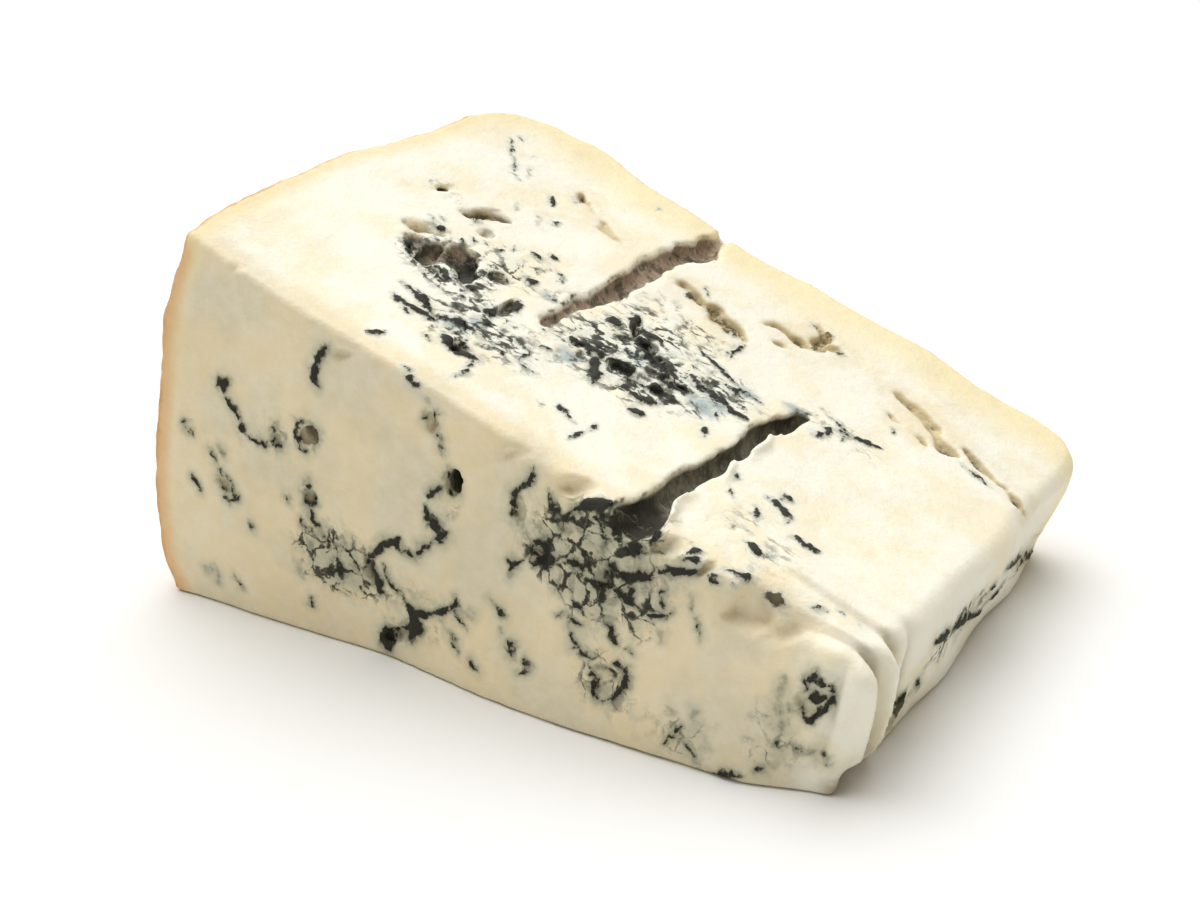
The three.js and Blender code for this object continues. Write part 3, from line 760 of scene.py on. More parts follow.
# On the top the places are (x, y).
topVeins = [
    (1.3, [(28.6, 31), (30, 28.6), (31.4, 27), (33.4, 25)]),
    (1.6, [(22.6, 27.4), (24.2, 28.4), (25.6, 29)]),
    (1.1, [(24.8, 31.2), (25.6, 30.2)]),
    (1.5, [(34.8, 28), (36.4, 28), (37.6, 29)]),
    (1.2, [(24.6, 24), (26.4, 22.6), (27.6, 20.8)]),
    (1.2, [(28, 22), (30.4, 21.8), (32.6, 20.6)]),
    (0.7, [(32, 20), (32.9, 17.8)]),
    (0.6, [(35.6, 20.4), (37.2, 18.6)]),
    (1.1, [(34.8, 22), (36.2, 21.2)]),
    (0.4, [(23.2, 31.6), (24.6, 31)]),
    (0.6, [(24.3, 32.9), (24.7, 32.7)]),
    (0.5, [(29, 33), (30, 31.6)]),
    (0.8, [(30.5, 33.6), (30.8, 33.2)]),
    (0.7, [(32.6, 34.2), (32.2, 32.6)]),
    (0.5, [(33.2, 36.6), (33.4, 35.8)]),
    (0.6, [(34.5, 31.6), (34.8, 31.1)]),
    (1.2, [(35.2, 37.6), (36.8, 37.4)]),
    (1.0, [(36.6, 39.9), (38, 40)]),
    (0.9, [(40, 37), (41, 35.8)]),
    (1.6, [(38.4, 31.2), (39.6, 32)]),
    (0.7, [(42.6, 31.4), (43.2, 30.4)]),
    (1.8, [(40.8, 25.8), (41.4, 24), (41, 22.2)]),
    (1.3, [(41, 22), (40.4, 20.4), (41, 19.2)]),
    (0.7, [(41.6, 18.2), (41.6, 16.6)]),
    (0.9, [(43, 14.2), (40.4, 15.2), (38, 14), (36, 13.6)]),
    (1.2, [(36.2, 13.4), (34.6, 14.4), (32.8, 15.1), (30.8, 15.2)]),
    (0.9, [(31.2, 12.3), (33, 12.1), (35.2, 12.2), (37.6, 12.8)]),
    (0.5, [(33.2, 11.2), (35, 10.6)]),
    (1.5, [(40, 10.9), (41.4, 9.6), (43.4, 9.8), (45.6, 10.4)]),
    (0.9, [(41.2, 12.1), (42, 11.4), (43.4, 11.3)]),
    (0.8, [(38.4, 8.9), (39.4, 8.2)]),
    (0.6, [(45.3, 9.6), (45.4, 7.6), (46, 6), (45.8, 4.8)]),
    (0.9, [(34, 3.1), (35, 4.1), (35.4, 5)]),
    (0.9, [(41.2, 1.2), (42.2, 1)]),
    (0.9, [(45, 28.4), (44.4, 26.4)]),
    (0.5, [(45, 18.5), (46.8, 18.2), (47.6, 17.4), (47.7, 15), (49.4, 14.6), (51, 14.3)]),
    (0.6, [(45.5, 14.8), (46.6, 13.8)]),
    (1.6, [(48, 20), (48.9, 20.4)]),
    (0.6, [(45.8, 23.5), (46.1, 23.4)]),
    (1.3, [(49, 25.2), (51, 25.8), (53.4, 25.7)]),
    (2.0, [(54, 25.8), (55.8, 26.6), (57.6, 25.8)]),
    (1.4, [(52.8, 24.8), (53.6, 23.2), (54.8, 21.6), (56, 19.9)]),
    (1.6, [(57.4, 25.4), (59, 24.4)]),
    (1.8, [(50.8, 38.6), (52, 36.8), (53, 34.8)]),
    (2.3, [(53, 34.6), (55, 33.2), (57.2, 32), (59.4, 31.2), (60, 29.6)]),
    (1.6, [(48.8, 34.6), (50.6, 34.2)]),
    (1.2, [(52.4, 36.4), (54.4, 36), (56.4, 35.7)]),
    (1.7, [(60.2, 28.8), (62.2, 29.2), (63.8, 29.6)]),
    (1.8, [(59.4, 25.2), (61.4, 26.4), (63.8, 26.2)]),
    (1.1, [(58.2, 23.2), (59.8, 22), (61.4, 22.8), (62.8, 23.6)]),
    (1.7, [(61.4, 19.4), (63, 19.8)]),
    (0.8, [(54.4, 29.8), (55.6, 29.4)]),
    (1.2, [(62.4, 33), (64, 32), (66.4, 32.3), (69, 31.2), (71, 31.4)]),
    (0.8, [(59.6, 39.8), (61.8, 39.2), (64.6, 38), (67.2, 37.2), (70, 37.4)]),
    (1.0, [(65.6, 36.3), (67.2, 36), (68, 34.6)]),
    (0.6, [(60.6, 37.4), (63.4, 36.2)]),
    (0.8, [(68.8, 24.8), (69.8, 23)]),
    (0.5, [(68, 29), (68.8, 27.4)]),
    (0.8, [(60.8, 12.6), (60.9, 10.8)]),
    (0.6, [(60.5, 10), (60.2, 8.4), (60.6, 6.6)]),
    (0.9, [(60.1, 8.6), (60.5, 8.2)]),
    (0.6, [(55.8, 12), (57.2, 11.2), (58.6, 10.3)]),
    (0.5, [(54.3, 10.3), (54.7, 10.2)]),
    (0.7, [(81, 22.4), (82, 22), (82, 20.2)]),
    (1.1, [(80.6, 19), (81.8, 19.1), (83.4, 18.4), (84, 16.8)]),
    (0.6, [(80.8, 16.2), (82, 13.8)]),
    (0.5, [(77, 16.4), (78, 14.7)]),
    (0.7, [(76, 20), (76.6, 18.6)]),
    (1.1, [(86.3, 15.4), (87.6, 14.6), (89.4, 15.2)]),
    (0.5, [(82, 10.9), (83, 10.4)]),
    (1.1, [(83.4, 8.1), (85, 7.9), (86.6, 8.3)]),
    (0.9, [(84.6, 1.3), (86, 2.2), (87.4, 3.3)]),
    (1.1, [(88.8, 2.6), (89.8, 3.3), (91, 3.2)]),
    (0.5, [(86.2, 4.6), (86.6, 4)]),
    (0.9, [(79.6, 0.9), (80.4, 1.3), (81.2, 2.4)]),
    (0.6, [(93.6, 5), (94.8, 5.8)]),
    (0.5, [(95.8, 7.4), (96.1, 7.1)]),
    (0.5, [(98.6, 7.6), (98.8, 6.9)]),
    (0.9, [(77.6, 38), (78, 39.8), (77.9, 41.6)]),
    (0.7, [(78, 41.6), (79.6, 42.8)]),
    (1.1, [(80.2, 43), (81.8, 43.6), (83.9, 44.2)]),
    (0.5, [(74.6, 45), (77, 44.1), (79.6, 43.2)]),
    (0.6, [(79.4, 42.6), (80.2, 40.6)]),
    (1.0, [(62.1, 43), (62.3, 45.2), (62.3, 47.4)]),
    (1.5, [(61.8, 42.8), (62.6, 42.9)]),
    (1.6, [(51.6, 50.4), (53.4, 50.6)]),
    (1.6, [(55.6, 49.6), (58, 49), (60.4, 48)]),
    (0.4, [(53, 54.2), (54, 52.6)]),
    (1.4, [(67.2, 62), (68.4, 60.2)]),
    (1.5, [(70.4, 59.8), (71, 58.4)]),
    (0.6, [(65, 61.6), (66.2, 61.4)]),
    (0.8, [(66.6, 56.4), (68.6, 57.4)]),
    (1.0, [(82.8, 50.4), (83.2, 49.6)]),
    (0.7, [(92, 52.6), (94.6, 52.4), (96, 52)]),
    (0.8, [(100.4, 52.6), (102, 51.8)]),
    (0.7, [(30.2, 56.4), (31.6, 55)]),
    (1.0, [(28.4, 52.4), (29.4, 51.4), (30.2, 50.2)]),
    (0.9, [(33, 47.2), (33, 46)]),
    (0.5, [(31, 45.8), (31.8, 44.2)]),
    (0.8, [(17.4, 61.6), (17.8, 61)]),
    (0.5, [(16.8, 59.6), (18, 58), (19.4, 56)]),
    (0.4, [(19.6, 55.6), (21.2, 54.4), (22.4, 52.4)]),
    (0.6, [(23, 51.6), (24, 51)]),
    (0.4, [(20.9, 59.4), (21.2, 58.8)]),
    (0.3, [(22.6, 56), (24.4, 53)]),
    (0.9, [(18.2, 38.2), (18.6, 37.8)]),
    (1.8, [(26.6, 39.6), (26.8, 38)]),
    (0.8, [(26.4, 37), (27.2, 35.6)]),
    (0.4, [(38, 66.2), (38.1, 65.6)]),
    (0.4, [(27.6, 45.4), (28.2, 44.4)]),
]
# On the nose the places are (y, z).
noseVeins = [
    (1.1, [(21, 10.9), (24, 10.3), (27, 9.5)]),
    (1.3, [(29, 8.8), (33, 7.8), (37, 6.6), (40, 5.2)]),
    (0.9, [(40, 5.2), (43, 4.4), (46, 5.2), (50, 5.8)]),
    (0.7, [(43, 8.2), (44.6, 7.6)]),
    (0.8, [(46, 9.6), (50, 8.6), (55, 7), (60, 5)]),
    (0.9, [(56, 5.4), (62, 3.8), (70, 1.6)]),
    (1.1, [(14, 4.6), (16, 5.6), (15.6, 3.2), (16, 1.2)]),
    (0.9, [(20, 6.2), (20.6, 5), (21.6, 4)]),
]
# soft blue-grey smears beside the pockets, on the top
blueSmears = [
    (2.2, [(50, 22.6), (52, 20.8)]),
    (2.0, [(51, 22), (53, 23)]),
    (2.6, [(65, 29), (67.6, 27.4)]),
    (2.0, [(66, 31), (68.4, 30)]),
    (1.8, [(67, 37.8), (69.6, 37.4)]),
    (1.6, [(40, 17.6), (41.4, 16)]),
    (1.8, [(37.6, 14), (41.6, 14.4)]),
    (1.6, [(41, 31.6), (42.8, 30.6)]),
    (1.8, [(55.6, 30.4), (56.8, 29)]),
    (1.6, [(72.4, 40.8), (75, 40.6)]),
]
# tan and yellow-brown crevices along the flat rind, on the top: mostly painted shade inside the crevices,
# with a few real tan stains
topStainsAndShade = [
    (2.4, [(30.4, 58.8), (31.2, 57)]),
    (1.8, [(33, 56), (34.8, 54.2)]),
    (1.8, [(37, 53.4), (39.4, 52.8)]),
    (2.2, [(66.2, 58.6), (67.6, 58)]),
    (1.6, [(63, 54.8), (65, 54.6)]),
    (1.2, [(67.6, 52.4), (68.6, 54)]),
    (2.6, [(80, 57.6), (83, 57.2), (85.6, 57.4)]),
    (2.0, [(82.4, 52.4), (85.2, 52.6)]),
    (3.0, [(94, 55.4), (96.6, 55.4), (99, 55.2)]),
    (2.4, [(99.4, 53.8), (101.6, 53)]),
    (1.0, [(83.4, 63.8), (87.4, 63.8)]),
    (2.2, [(88.6, 73), (89, 72)]),
    (2.8, [(23.6, 69), (24.6, 68.2)]),
    (1.6, [(52, 50.6), (50.6, 49.8)]),
    (1.6, [(56, 50.4), (57, 50.2)]),
    (2.2, [(22.8, 28), (24.2, 28.2)]),
    (2.8, [(29.4, 29.4), (31, 27)]),
    (2.2, [(26.4, 39.6), (27, 38)]),
]
# the cracks along the flat rind get the same painted shade
topStainsAndShade += [(2 * half + 2.4, path) for half, depth, path in topCracks if path[0][1] > 47]
# brown walls: the first channel and the big hollow, on the top
warmWalls = [
    (7.0, [(44.6, 24), (46, 50), (47.8, 78)]),
    (6.0, [(26, 30), (30, 27)]),
    (5.0, [(26, 40), (28, 37)]),
    (4.0, [(20, 39.4), (22, 38)]),
    (5.0, [(31, 57), (38, 53)]),
    (6.0, [(51, 50.4), (59, 49)]),
    (6.0, [(64, 58), (71, 59)]),
    (6.0, [(78, 58), (90, 55)]),
    (6.0, [(82, 52.6), (86, 52.6)]),
    (6.0, [(92, 55), (102, 53)]),
]
# near-black painted shade on the walls: both ends of the second channel and the heart of the big hollow
deepShadeWalls = [
    (10.0, [(72.8, -2), (73, 5)]),
    (4.6, [(73.6, 31), (73.8, 40)]),
    (6.2, [(32.2, 28.8), (31.6, 26.6)]),
]
# painted shadow along the torn lip of the chip on the halving cut: (x, z)
frontChipShadow = [
    (0.7, [(84.6, 20.6), (84.9, 18.6), (86, 17.6)]),
]
# tan pockets on the nose, partly painted shade low down and in its folds: (y, z)
noseStainsAndShade = [
    (1.6, [(46, 8.6), (54, 7), (64, 4.4)]),
    (2.6, [(1, 3.6), (3, 2.4)]),
    (2.0, [(5.6, 3.4), (6.4, 1.6)]),
    (1.2, [(4.4, 14.6), (4.8, 13)]),
    (3.0, [(14, 2.6), (19, 2.4)]),
]


def strokeGap(points, strokes, onFace, limit=6.0):
    # signed distance in mm to the edge of the nearest stroke, at points in mm
    gap = np.full(len(points), limit)
    for width, path in strokes:
        path = np.array(path, dtype=float)
        steps = np.maximum(np.ceil(np.hypot(*np.diff(path, axis=0).T) / 1.2).astype(int), 1)
        fine = [path[0]]
        for start, end, count in zip(path[:-1], path[1:], steps):
            fine += [mix(start, end, (i + 1) / count) for i in range(count)]
        fine = np.array(fine)
        line = onFace(fine[:, 0], fine[:, 1])
        # thin at both ends and uneven on the way
        taper = 0.45 + 0.7 * np.clip(np.sin(np.pi * np.linspace(0, 1, len(line))), 0, 1) ** 0.6
        half = width / 2 * taper * strokeRandom.uniform(0.85, 1.2, len(line))
        low, high = line.min(0) - limit - width, line.max(0) + limit + width
        near = np.flatnonzero(((points > low) & (points < high)).all(1))
        if not len(near):
            continue
        spot = points[near]
        best = np.full(len(near), limit)
        for a, b, halfA, halfB in zip(line[:-1], line[1:], half[:-1], half[1:]):
            along = b - a
            t = np.clip(((spot - a) @ along) / max(along @ along, 1e-9), 0, 1)
            far = np.linalg.norm(spot - a - t[:, None] * along, axis=1)
            best = np.minimum(best, far - mix(halfA, halfB, t))
        gap[near] = np.minimum(gap[near], best)
    return gap


def wandering(points, size, amount):
    # moves points about by up to this amount in mm, so that strokes laid on them wander
    shift = [pointNoise.turbulence_vector(Vector(p) / size, 3, False) for p in points]
    return points + amount * np.array(shift)


def rindDistance():
    # how far in mm each point lies in from the rind, rounded where its two faces meet
    x, y, z = points.T
    toRind = x - rindPlace(y, z)
    toBack = backPlace(x, z) - y
    radius = wedge["rimRadius"]
    a, b = np.maximum(radius - toRind, 0), np.maximum(radius - toBack, 0)
    rim = radius - np.hypot(a, b)
    return np.where((toRind < radius) & (toBack < radius), rim, np.minimum(toRind, toBack))


def setAttribute(name, values):
    attribute = mesh.attributes.new(name, "FLOAT", "POINT")
    attribute.data.foreach_set("value", np.asarray(values, dtype=np.float32))


def nearestGap(drawn, layers):
    # distance in mm to the nearest stroke of several lists, each with the face it lies on
    return np.minimum.reduce([strokeGap(drawn, strokes, onFace) for strokes, onFace in layers])


veins = {
    "layers": [(frontVeins, onFront), (topVeins, onTop), (noseVeins, onNose)],
    "bends": [(3.0, 0.5), (0.9, 0.38)],   # mm, size of the bends and how far they move a stroke
    "refineReach": 0.8,                   # mm, how far round a vein the faces are halved
    "depth": 0.3,                         # mm, how far a vein lies below the paste
    "seed": wedge["seed"] + 1,
}
crackShadeLayers = [(topStainsAndShade, onTop), (noseStainsAndShade, onNose), (frontChipShadow, onFront)]


def drawVeins(points):
    drawn = points
    for size, amount in veins["bends"]:
        drawn = wandering(drawn, size, amount)
    return drawn, nearestGap(drawn, veins["layers"])


def refineAlong(gap, reach):
    # halves the faces along the veins, so that thin ones stay crisp
    fine = bmesh.new()
    fine.from_mesh(mesh)
    near = gap < reach
    edges = [e for e in fine.edges if near[e.verts[0].index] and near[e.verts[1].index]]
    bmesh.ops.subdivide_edges(fine, edges=edges, cuts=1, use_grid_fill=True)
    bmesh.ops.triangulate(fine, faces=[f for f in fine.faces if len(f.verts) > 4])
    fine.to_mesh(mesh)
    fine.free()
    corners = np.empty(len(mesh.vertices) * 3)
    mesh.vertices.foreach_get("co", corners)
    return corners.reshape(-1, 3)


strokeRandom = np.random.default_rng(veins["seed"])
places = refineAlong(drawVeins(points)[1], veins["refineReach"])
points = places / mm + origin
# the same veins once more, on the finer mesh
strokeRandom = np.random.default_rng(veins["seed"])
drawn, inkGap = drawVeins(points)
rindGap = rindDistance()
crackShadeGap = nearestGap(drawn, crackShadeLayers)
x, y, z = points.T
sunk = np.clip(-sampleField(skinBefore, points), 0, 6)

# the mould eats into the paste, so the veins lie a little below it
normals = np.empty(len(points) * 3)
mesh.vertices.foreach_get("normal", normals)
veinDepth = veins["depth"] * smoothStep((0.15 - inkGap) / 0.5) * smoothStep(z / 1.5) * (sunk < 0.4)
places -= normals.reshape(-1, 3) * veinDepth[:, None] * mm
mesh.vertices.foreach_set("co", places.ravel())
mesh.update()

setAttribute("inkGap", inkGap)
setAttribute("blueGap", strokeGap(drawn, blueSmears, onTop))
setAttribute("crackShadeGap", crackShadeGap)
setAttribute("warmGap", strokeGap(drawn, warmWalls, onTop))
setAttribute("deepShadeGap", strokeGap(drawn, deepShadeWalls, onTop))
# how near each point lies to the halving cut, where painted shade darkens the paste
setAttribute("halvingCutShade", smoothStep(1.4 - np.abs(y - frontPlace(x, z)) / 4) * smoothStep((97 - x) / 4))
setAttribute("pocket", pocketStrength(points))
setAttribute("rindGap", rindGap)
# the curved rind has stained the paste deeper than the flat one
setAttribute("crustGap", rindGap / mix(0.35, 1.0, smoothStep((20 - x) / 14)))
# while beside the flat one the paste is yellower a long way in
setAttribute("yellowGap", rindGap * mix(1.0, 2.6, smoothStep((26 - x) / 18)))
setAttribute("drag", smoothStep(1 - np.abs(z - topPlace(x, y)) / 2.5))
setAttribute("sunk", sunk)
# how deep the folds of the nose are, which sets their painted shade
foldDepth = np.clip(noseFolds(y, z), 0, 6) * smoothStep((x - 86) / 5)
# painted shade at the crumbled foot of the first fold, by the front corner
footShade = 0.9 * smoothStep((4.6 - z) / 4) * smoothStep((9 - y) / 4) * smoothStep((x - 96) / 3.4)
setAttribute("fold", foldDepth + footShade)
print("drew the veins and stains on", len(points), "points")


# Materials

def linearColour(code):
    # sRGB hex to the linear colour the renderer works in
    parts = [int(code[i:i + 2], 16) / 255 for i in (1, 3, 5)]
    linear = [p / 12.92 if p <= 0.04045 else ((p + 0.055) / 1.055) ** 2.4 for p in parts]
    return (*linear, 1.0)


def addNode(tree, kind, settings=None, inputs=None):
    node = tree.nodes.new(kind)
    for name, value in (settings or {}).items():
        setattr(node, name, value)
    for name, value in (inputs or {}).items():
        if isinstance(value, bpy.types.NodeSocket):
            tree.links.new(value, node.inputs[name])
        else:
            node.inputs[name].default_value = linearColour(value) if isinstance(value, str) else value
    return node


# what a node is used for: its kind and settings, the inputs filled in order, the output handed on
nodeUses = {
    "add": ("ShaderNodeMath", {"operation": "ADD"}, (0, 1), 0),
    "subtract": ("ShaderNodeMath", {"operation": "SUBTRACT"}, (0, 1), 0),
    "multiply": ("ShaderNodeMath", {"operation": "MULTIPLY"}, (0, 1), 0),
    "larger": ("ShaderNodeMath", {"operation": "MAXIMUM"}, (0, 1), 0),
    "ramp": (
        "ShaderNodeMapRange", {"interpolation_type": "SMOOTHSTEP"},
        ("Value", "From Min", "From Max", "To Min", "To Max"), "Result",
    ),
    "mixColour": ("ShaderNodeMix", {"data_type": "RGBA"}, (0, 6, 7), 2),
    "mixNumber": ("ShaderNodeMix", {"data_type": "FLOAT"}, (0, 2, 3), 0),
    "shift": ("ShaderNodeVectorMath", {"operation": "ADD"}, (0, 1), 0),
    "shiftBack": ("ShaderNodeVectorMath", {"operation": "SUBTRACT"}, (0, 1), 0),
    "stretch": ("ShaderNodeVectorMath", {"operation": "MULTIPLY"}, (0, 1), 0),
    "scale": ("ShaderNodeVectorMath", {"operation": "SCALE"}, (0, "Scale"), 0),
    "cells": ("ShaderNodeTexVoronoi", {"feature": "DISTANCE_TO_EDGE"}, ("Vector", "Scale"), "Distance"),
}

cheeseLook = {
    "cream": "#f6f4e5",          # plain paste
    "butter": "#f3ebcf",         # fatter patches of paste
    "shadedSidePaste": "#ecdcb4",      # painted shade: the halving cut is darker and yellower than the top
    "shadedSideGrey": "#ddd3b4",       # and greyer where it is see-through, also darkened as painted shade
    "underRind": "#f4e7bb",      # yellower paste beside the rind
    "crust": "#e2b47c",          # paste stained by the rind
    "rind": "#cf9f62",           # the washed rind
    "rindDark": "#b2834c",
    "rindBloom": "#dec6a0",      # pale dry bloom on the rind
    "shadedHazeSide": "#bbbba3",       # grey paste round the mould, on the halving cut, darker there as painted shade
    "hazeTop": "#e6eade",        # the same where the knife has smeared it, on the top
    "blue": "#9fb0b4",           # blue-grey smears
    "mouldEdge": "#484b3f",
    "mould": "#0d0e09",          # the mould itself
    "hollow": "#747163",         # grey walls of the channels and hollows
    "hollowWarm": "#a18a77",     # brown walls
    "hollowPale": "#c6b9a4",
    # near black: dark mould on the walls, and painted shade deep in the hollows
    "blackMouldAndShade": "#080604",
    "stainAndShade": "#c8b482",          # yellow-brown crevices: painted shade, and a few real stains
    "stainAndShadeDeep": "#6d6142",
    "fold": "#8f7c58",           # painted shade in the folds of the nose, deep down
    "curdSize": 2.9,             # mm, lumps outlined by mould in a pocket
    "speckSize": 1.5,            # mm, marks in the thick of a pocket
    "roughness": 0.42,
    "dullRoughness": 0.75,
    "ior": 1.45,
    "shine": 0.22,
    "subsurface": 0.22,
    "subsurfaceDepth": 0.0013,   # m
    "subsurfaceShares": (1.0, 0.75, 0.5),   # red light goes in deepest
    "reliefDepth": 0.00025,      # m
    "knifeDrag": (0.42, 1.0, 1.0),      # marks are drawn out along the knife's path
    "wallStreaks": (0.35, 1.0, 0.35),   # the fluff on the walls hangs in streaks
    "measured": (                # read from the points of the mesh
        "inkGap", "blueGap", "crackShadeGap", "warmGap", "deepShadeGap", "halvingCutShade", "pocket",
        "rindGap", "crustGap", "yellowGap", "drag", "sunk", "fold",
    ),
}


def cheeseMaterial(look):
    # ripe blue cheese paste: moist cream with soft light inside, dull dark mould, dry tan rind
    material = bpy.data.materials.new("Ripe blue cheese")
    material.use_nodes = True
    tree = material.node_tree
    tree.nodes.clear()

    def use(name, *values):
        # adds the node for one of the uses listed above
        kind, settings, sockets, output = nodeUses[name]
        return addNode(tree, kind, settings, dict(zip(sockets, values))).outputs[output]

    measured = {
        name: addNode(tree, "ShaderNodeAttribute", {"attribute_name": name}).outputs["Fac"]
        for name in look["measured"]
    }
    # everything below is measured in mm
    place = use("scale", addNode(tree, "ShaderNodeTexCoord").outputs["Object"], 1 / mm)
    dragged = use("stretch", place, look["knifeDrag"])

    def lumps(size, detail=3.0, roughness=0.55, offset=0.0, at=None, output="Fac"):
        # soft lumps of this size in mm
        shifted = use("shift", at or place, (offset, offset * 1.7, -offset))
        inputs = {"Vector": shifted, "Scale": 1.0 / size, "Detail": detail, "Roughness": roughness}
        return addNode(tree, "ShaderNodeTexNoise", {}, inputs).outputs[output]

    def wander(at, size, amount, offset):
        # bends a pattern by up to half this amount in mm
        centred = use("shiftBack", lumps(size, 2.0, 0.5, offset, at, "Color"), (0.5, 0.5, 0.5))
        return use("shift", at, use("scale", centred, amount))

    def ragged(size, amount, detail, roughness, offset):
        # makes an edge uneven by up to half this amount in mm
        return use("multiply", use("subtract", lumps(size, detail, roughness, offset), 0.5), amount)

    def net(at, size, offset):
        # distance in mm to the seams between lumps of this size
        shifted = use("shift", at, (offset, -offset, offset))
        return use("multiply", use("cells", shifted, 1.0 / size), size)

    above = addNode(tree, "ShaderNodeSeparateXYZ", {}, {0: place}).outputs["Z"]
    inkGap, crackShadeGap, rindGap = measured["inkGap"], measured["crackShadeGap"], measured["rindGap"]
    pocket, sunk, drag = measured["pocket"], measured["sunk"], measured["drag"]

    # paste
    patches = lumps(10.0, 4.0, 0.6)
    mottle = lumps(2.4, 4.0, 0.65, 3.1)
    colour = use("mixColour", use("ramp", patches, 0.4, 0.64), look["cream"], look["butter"])
    colour = use("mixColour", use("ramp", mottle, 0.45, 0.75, 0.0, 0.4), colour, look["cream"])
    # painted shade: darker, yellower paste on the halving cut, greyer in patches
    cutGreyPatches = use("ramp", lumps(12.0, 4.0, 0.6, 13.0), 0.42, 0.62)
    cutShadeTone = use("mixColour", cutGreyPatches, look["shadedSidePaste"], look["shadedSideGrey"])
    cutShadeShare = use("multiply", measured["halvingCutShade"], use("ramp", mottle, 0.3, 0.7, 0.85, 0.6))
    colour = use("mixColour", cutShadeShare, colour, cutShadeTone)
    wave = ragged(4.0, 2.6, 3.0, 0.6, 9.0)
    yellowGap = use("add", measured["yellowGap"], wave)
    colour = use("mixColour", use("ramp", yellowGap, 13.0, 3.0, 0.0, 0.9), colour, look["underRind"])
    crustWave = ragged(1.6, 1.2, 4.0, 0.65, 12.0)
    wavyCrust = use("add", use("add", measured["crustGap"], crustWave), use("multiply", wave, 0.3))
    crustShare = use("multiply", use("ramp", wavyCrust, 4.0, 0.6), use("mixNumber", drag, 0.85, 0.2))
    colour = use("mixColour", crustShare, colour, look["crust"])

    # rind: blotchy, with a pale dry bloom and darker specks
    rindPatches = lumps(9.0, 6.0, 0.62, 21.0)
    rind = use("mixColour", use("ramp", rindPatches, 0.38, 0.66, 0.0, 0.8), look["rind"], look["rindDark"])
    for spots, low, high, most, tone in (
        (lumps(5.0, 5.0, 0.66, 45.0), 0.46, 0.7, 0.7, "rindBloom"),
        (lumps(1.1, 5.0, 0.7, 33.0), 0.4, 0.7, 0.35, "rindBloom"),
        (lumps(0.8, 4.0, 0.7, 57.0), 0.55, 0.68, 0.4, "rindDark"),
    ):
        rind = use("mixColour", use("ramp", spots, low, high, 0.0, most), rind, look[tone])
    rindShare = use("ramp", wavyCrust, 1.3, 0.1)
    colour = use("mixColour", rindShare, colour, rind)

    # grey haze of mould in the paste
    hazeNoise = lumps(2.8, 4.0, 0.62, 5.0)
    fineRag = ragged(0.5, 0.55, 3.0, 0.65, 7.0)
    midRag = ragged(1.1, 0.8, 5.0, 0.68, 11.0)
    rag = use("add", fineRag, midRag)
    hazeOnCut = use("ramp", inkGap, 1.7, -0.1, 0.0, 0.75)
    hazeOnTop = use("ramp", inkGap, 1.3, 0.0, 0.0, 0.6)
    hazeReach = use("mixNumber", drag, hazeOnCut, hazeOnTop)
    hazeStroke = use("multiply", hazeReach, use("ramp", hazeNoise, 0.35, 0.6, 0.5, 1.0))
    hazeWave = use("multiply", use("subtract", hazeNoise, 0.5), 2.2)
    hazePocket = use("ramp", use("add", pocket, hazeWave), 0.15, 1.1, 0.0, 0.9)
    hazePocket = use("multiply", hazePocket, use("ramp", pocket, 0.0, 0.3))
    haze = use("larger", hazeStroke, hazePocket)
    # the haze on the halving cut is darker than on the top, as painted shade
    hazeColour = use("mixColour", drag, look["shadedHazeSide"], look["hazeTop"])
    colour = use("mixColour", haze, colour, hazeColour)

    blueShare = use("ramp", use("add", measured["blueGap"], use("multiply", rag, 1.5)), 1.0, -0.8, 0.0, 0.8)
    colour = use("mixColour", blueShare, colour, look["blue"])

    # mould between the curds of a pocket, as a net of uneven lines
    bent = wander(wander(place, 3.0, 3.0, 2.0), 0.8, 0.7, 6.0)
    bentDragged = wander(wander(dragged, 2.4, 2.0, 4.0), 0.7, 0.6, 8.0)
    patchy = use("ramp", lumps(4.2, 3.0, 0.6, 15.0), 0.36, 0.6, use("mixNumber", drag, 0.55, 0.3), 1.0)
    density = use("multiply", pocket, patchy)
    roundSeam = net(bent, look["curdSize"], 41.0)
    longSeam = net(bentDragged, look["curdSize"] * 0.6, 47.0)
    seam = use("mixNumber", drag, roundSeam, longSeam)
    # the lines swell and fade on their way
    swelling = use("ramp", lumps(2.0, 4.0, 0.65, 61.0), 0.38, 0.66, use("mixNumber", drag, -0.08, -0.2), 0.55)
    lineHalf = use("add", use("multiply", density, swelling), use("multiply", fineRag, 0.35))
    lineGap = use("subtract", seam, lineHalf)
    leastDensity = use("mixNumber", drag, 0.28, 0.15)
    lineShare = use("multiply", use("ramp", lineGap, 0.12, -0.06), use("ramp", density, leastDensity, 0.55))
    # and as specks with broken edges, few on the halving cut
    roundSpeck = lumps(look["speckSize"], 5.0, 0.66, 71.0, bent)
    longSpeck = lumps(look["speckSize"], 5.0, 0.66, 73.0, bentDragged)
    speck = use("mixNumber", drag, roundSpeck, longSpeck)
    speckDensity = use("multiply", density, use("mixNumber", drag, 0.55, 0.95))
    speckFloor = use("ramp", speckDensity, 0.1, 1.0, 0.74, 0.56)
    speckShare = use("ramp", use("subtract", speck, speckFloor), -0.02, 0.05)
    speckShare = use("multiply", speckShare, use("ramp", speckDensity, 0.08, 0.2))
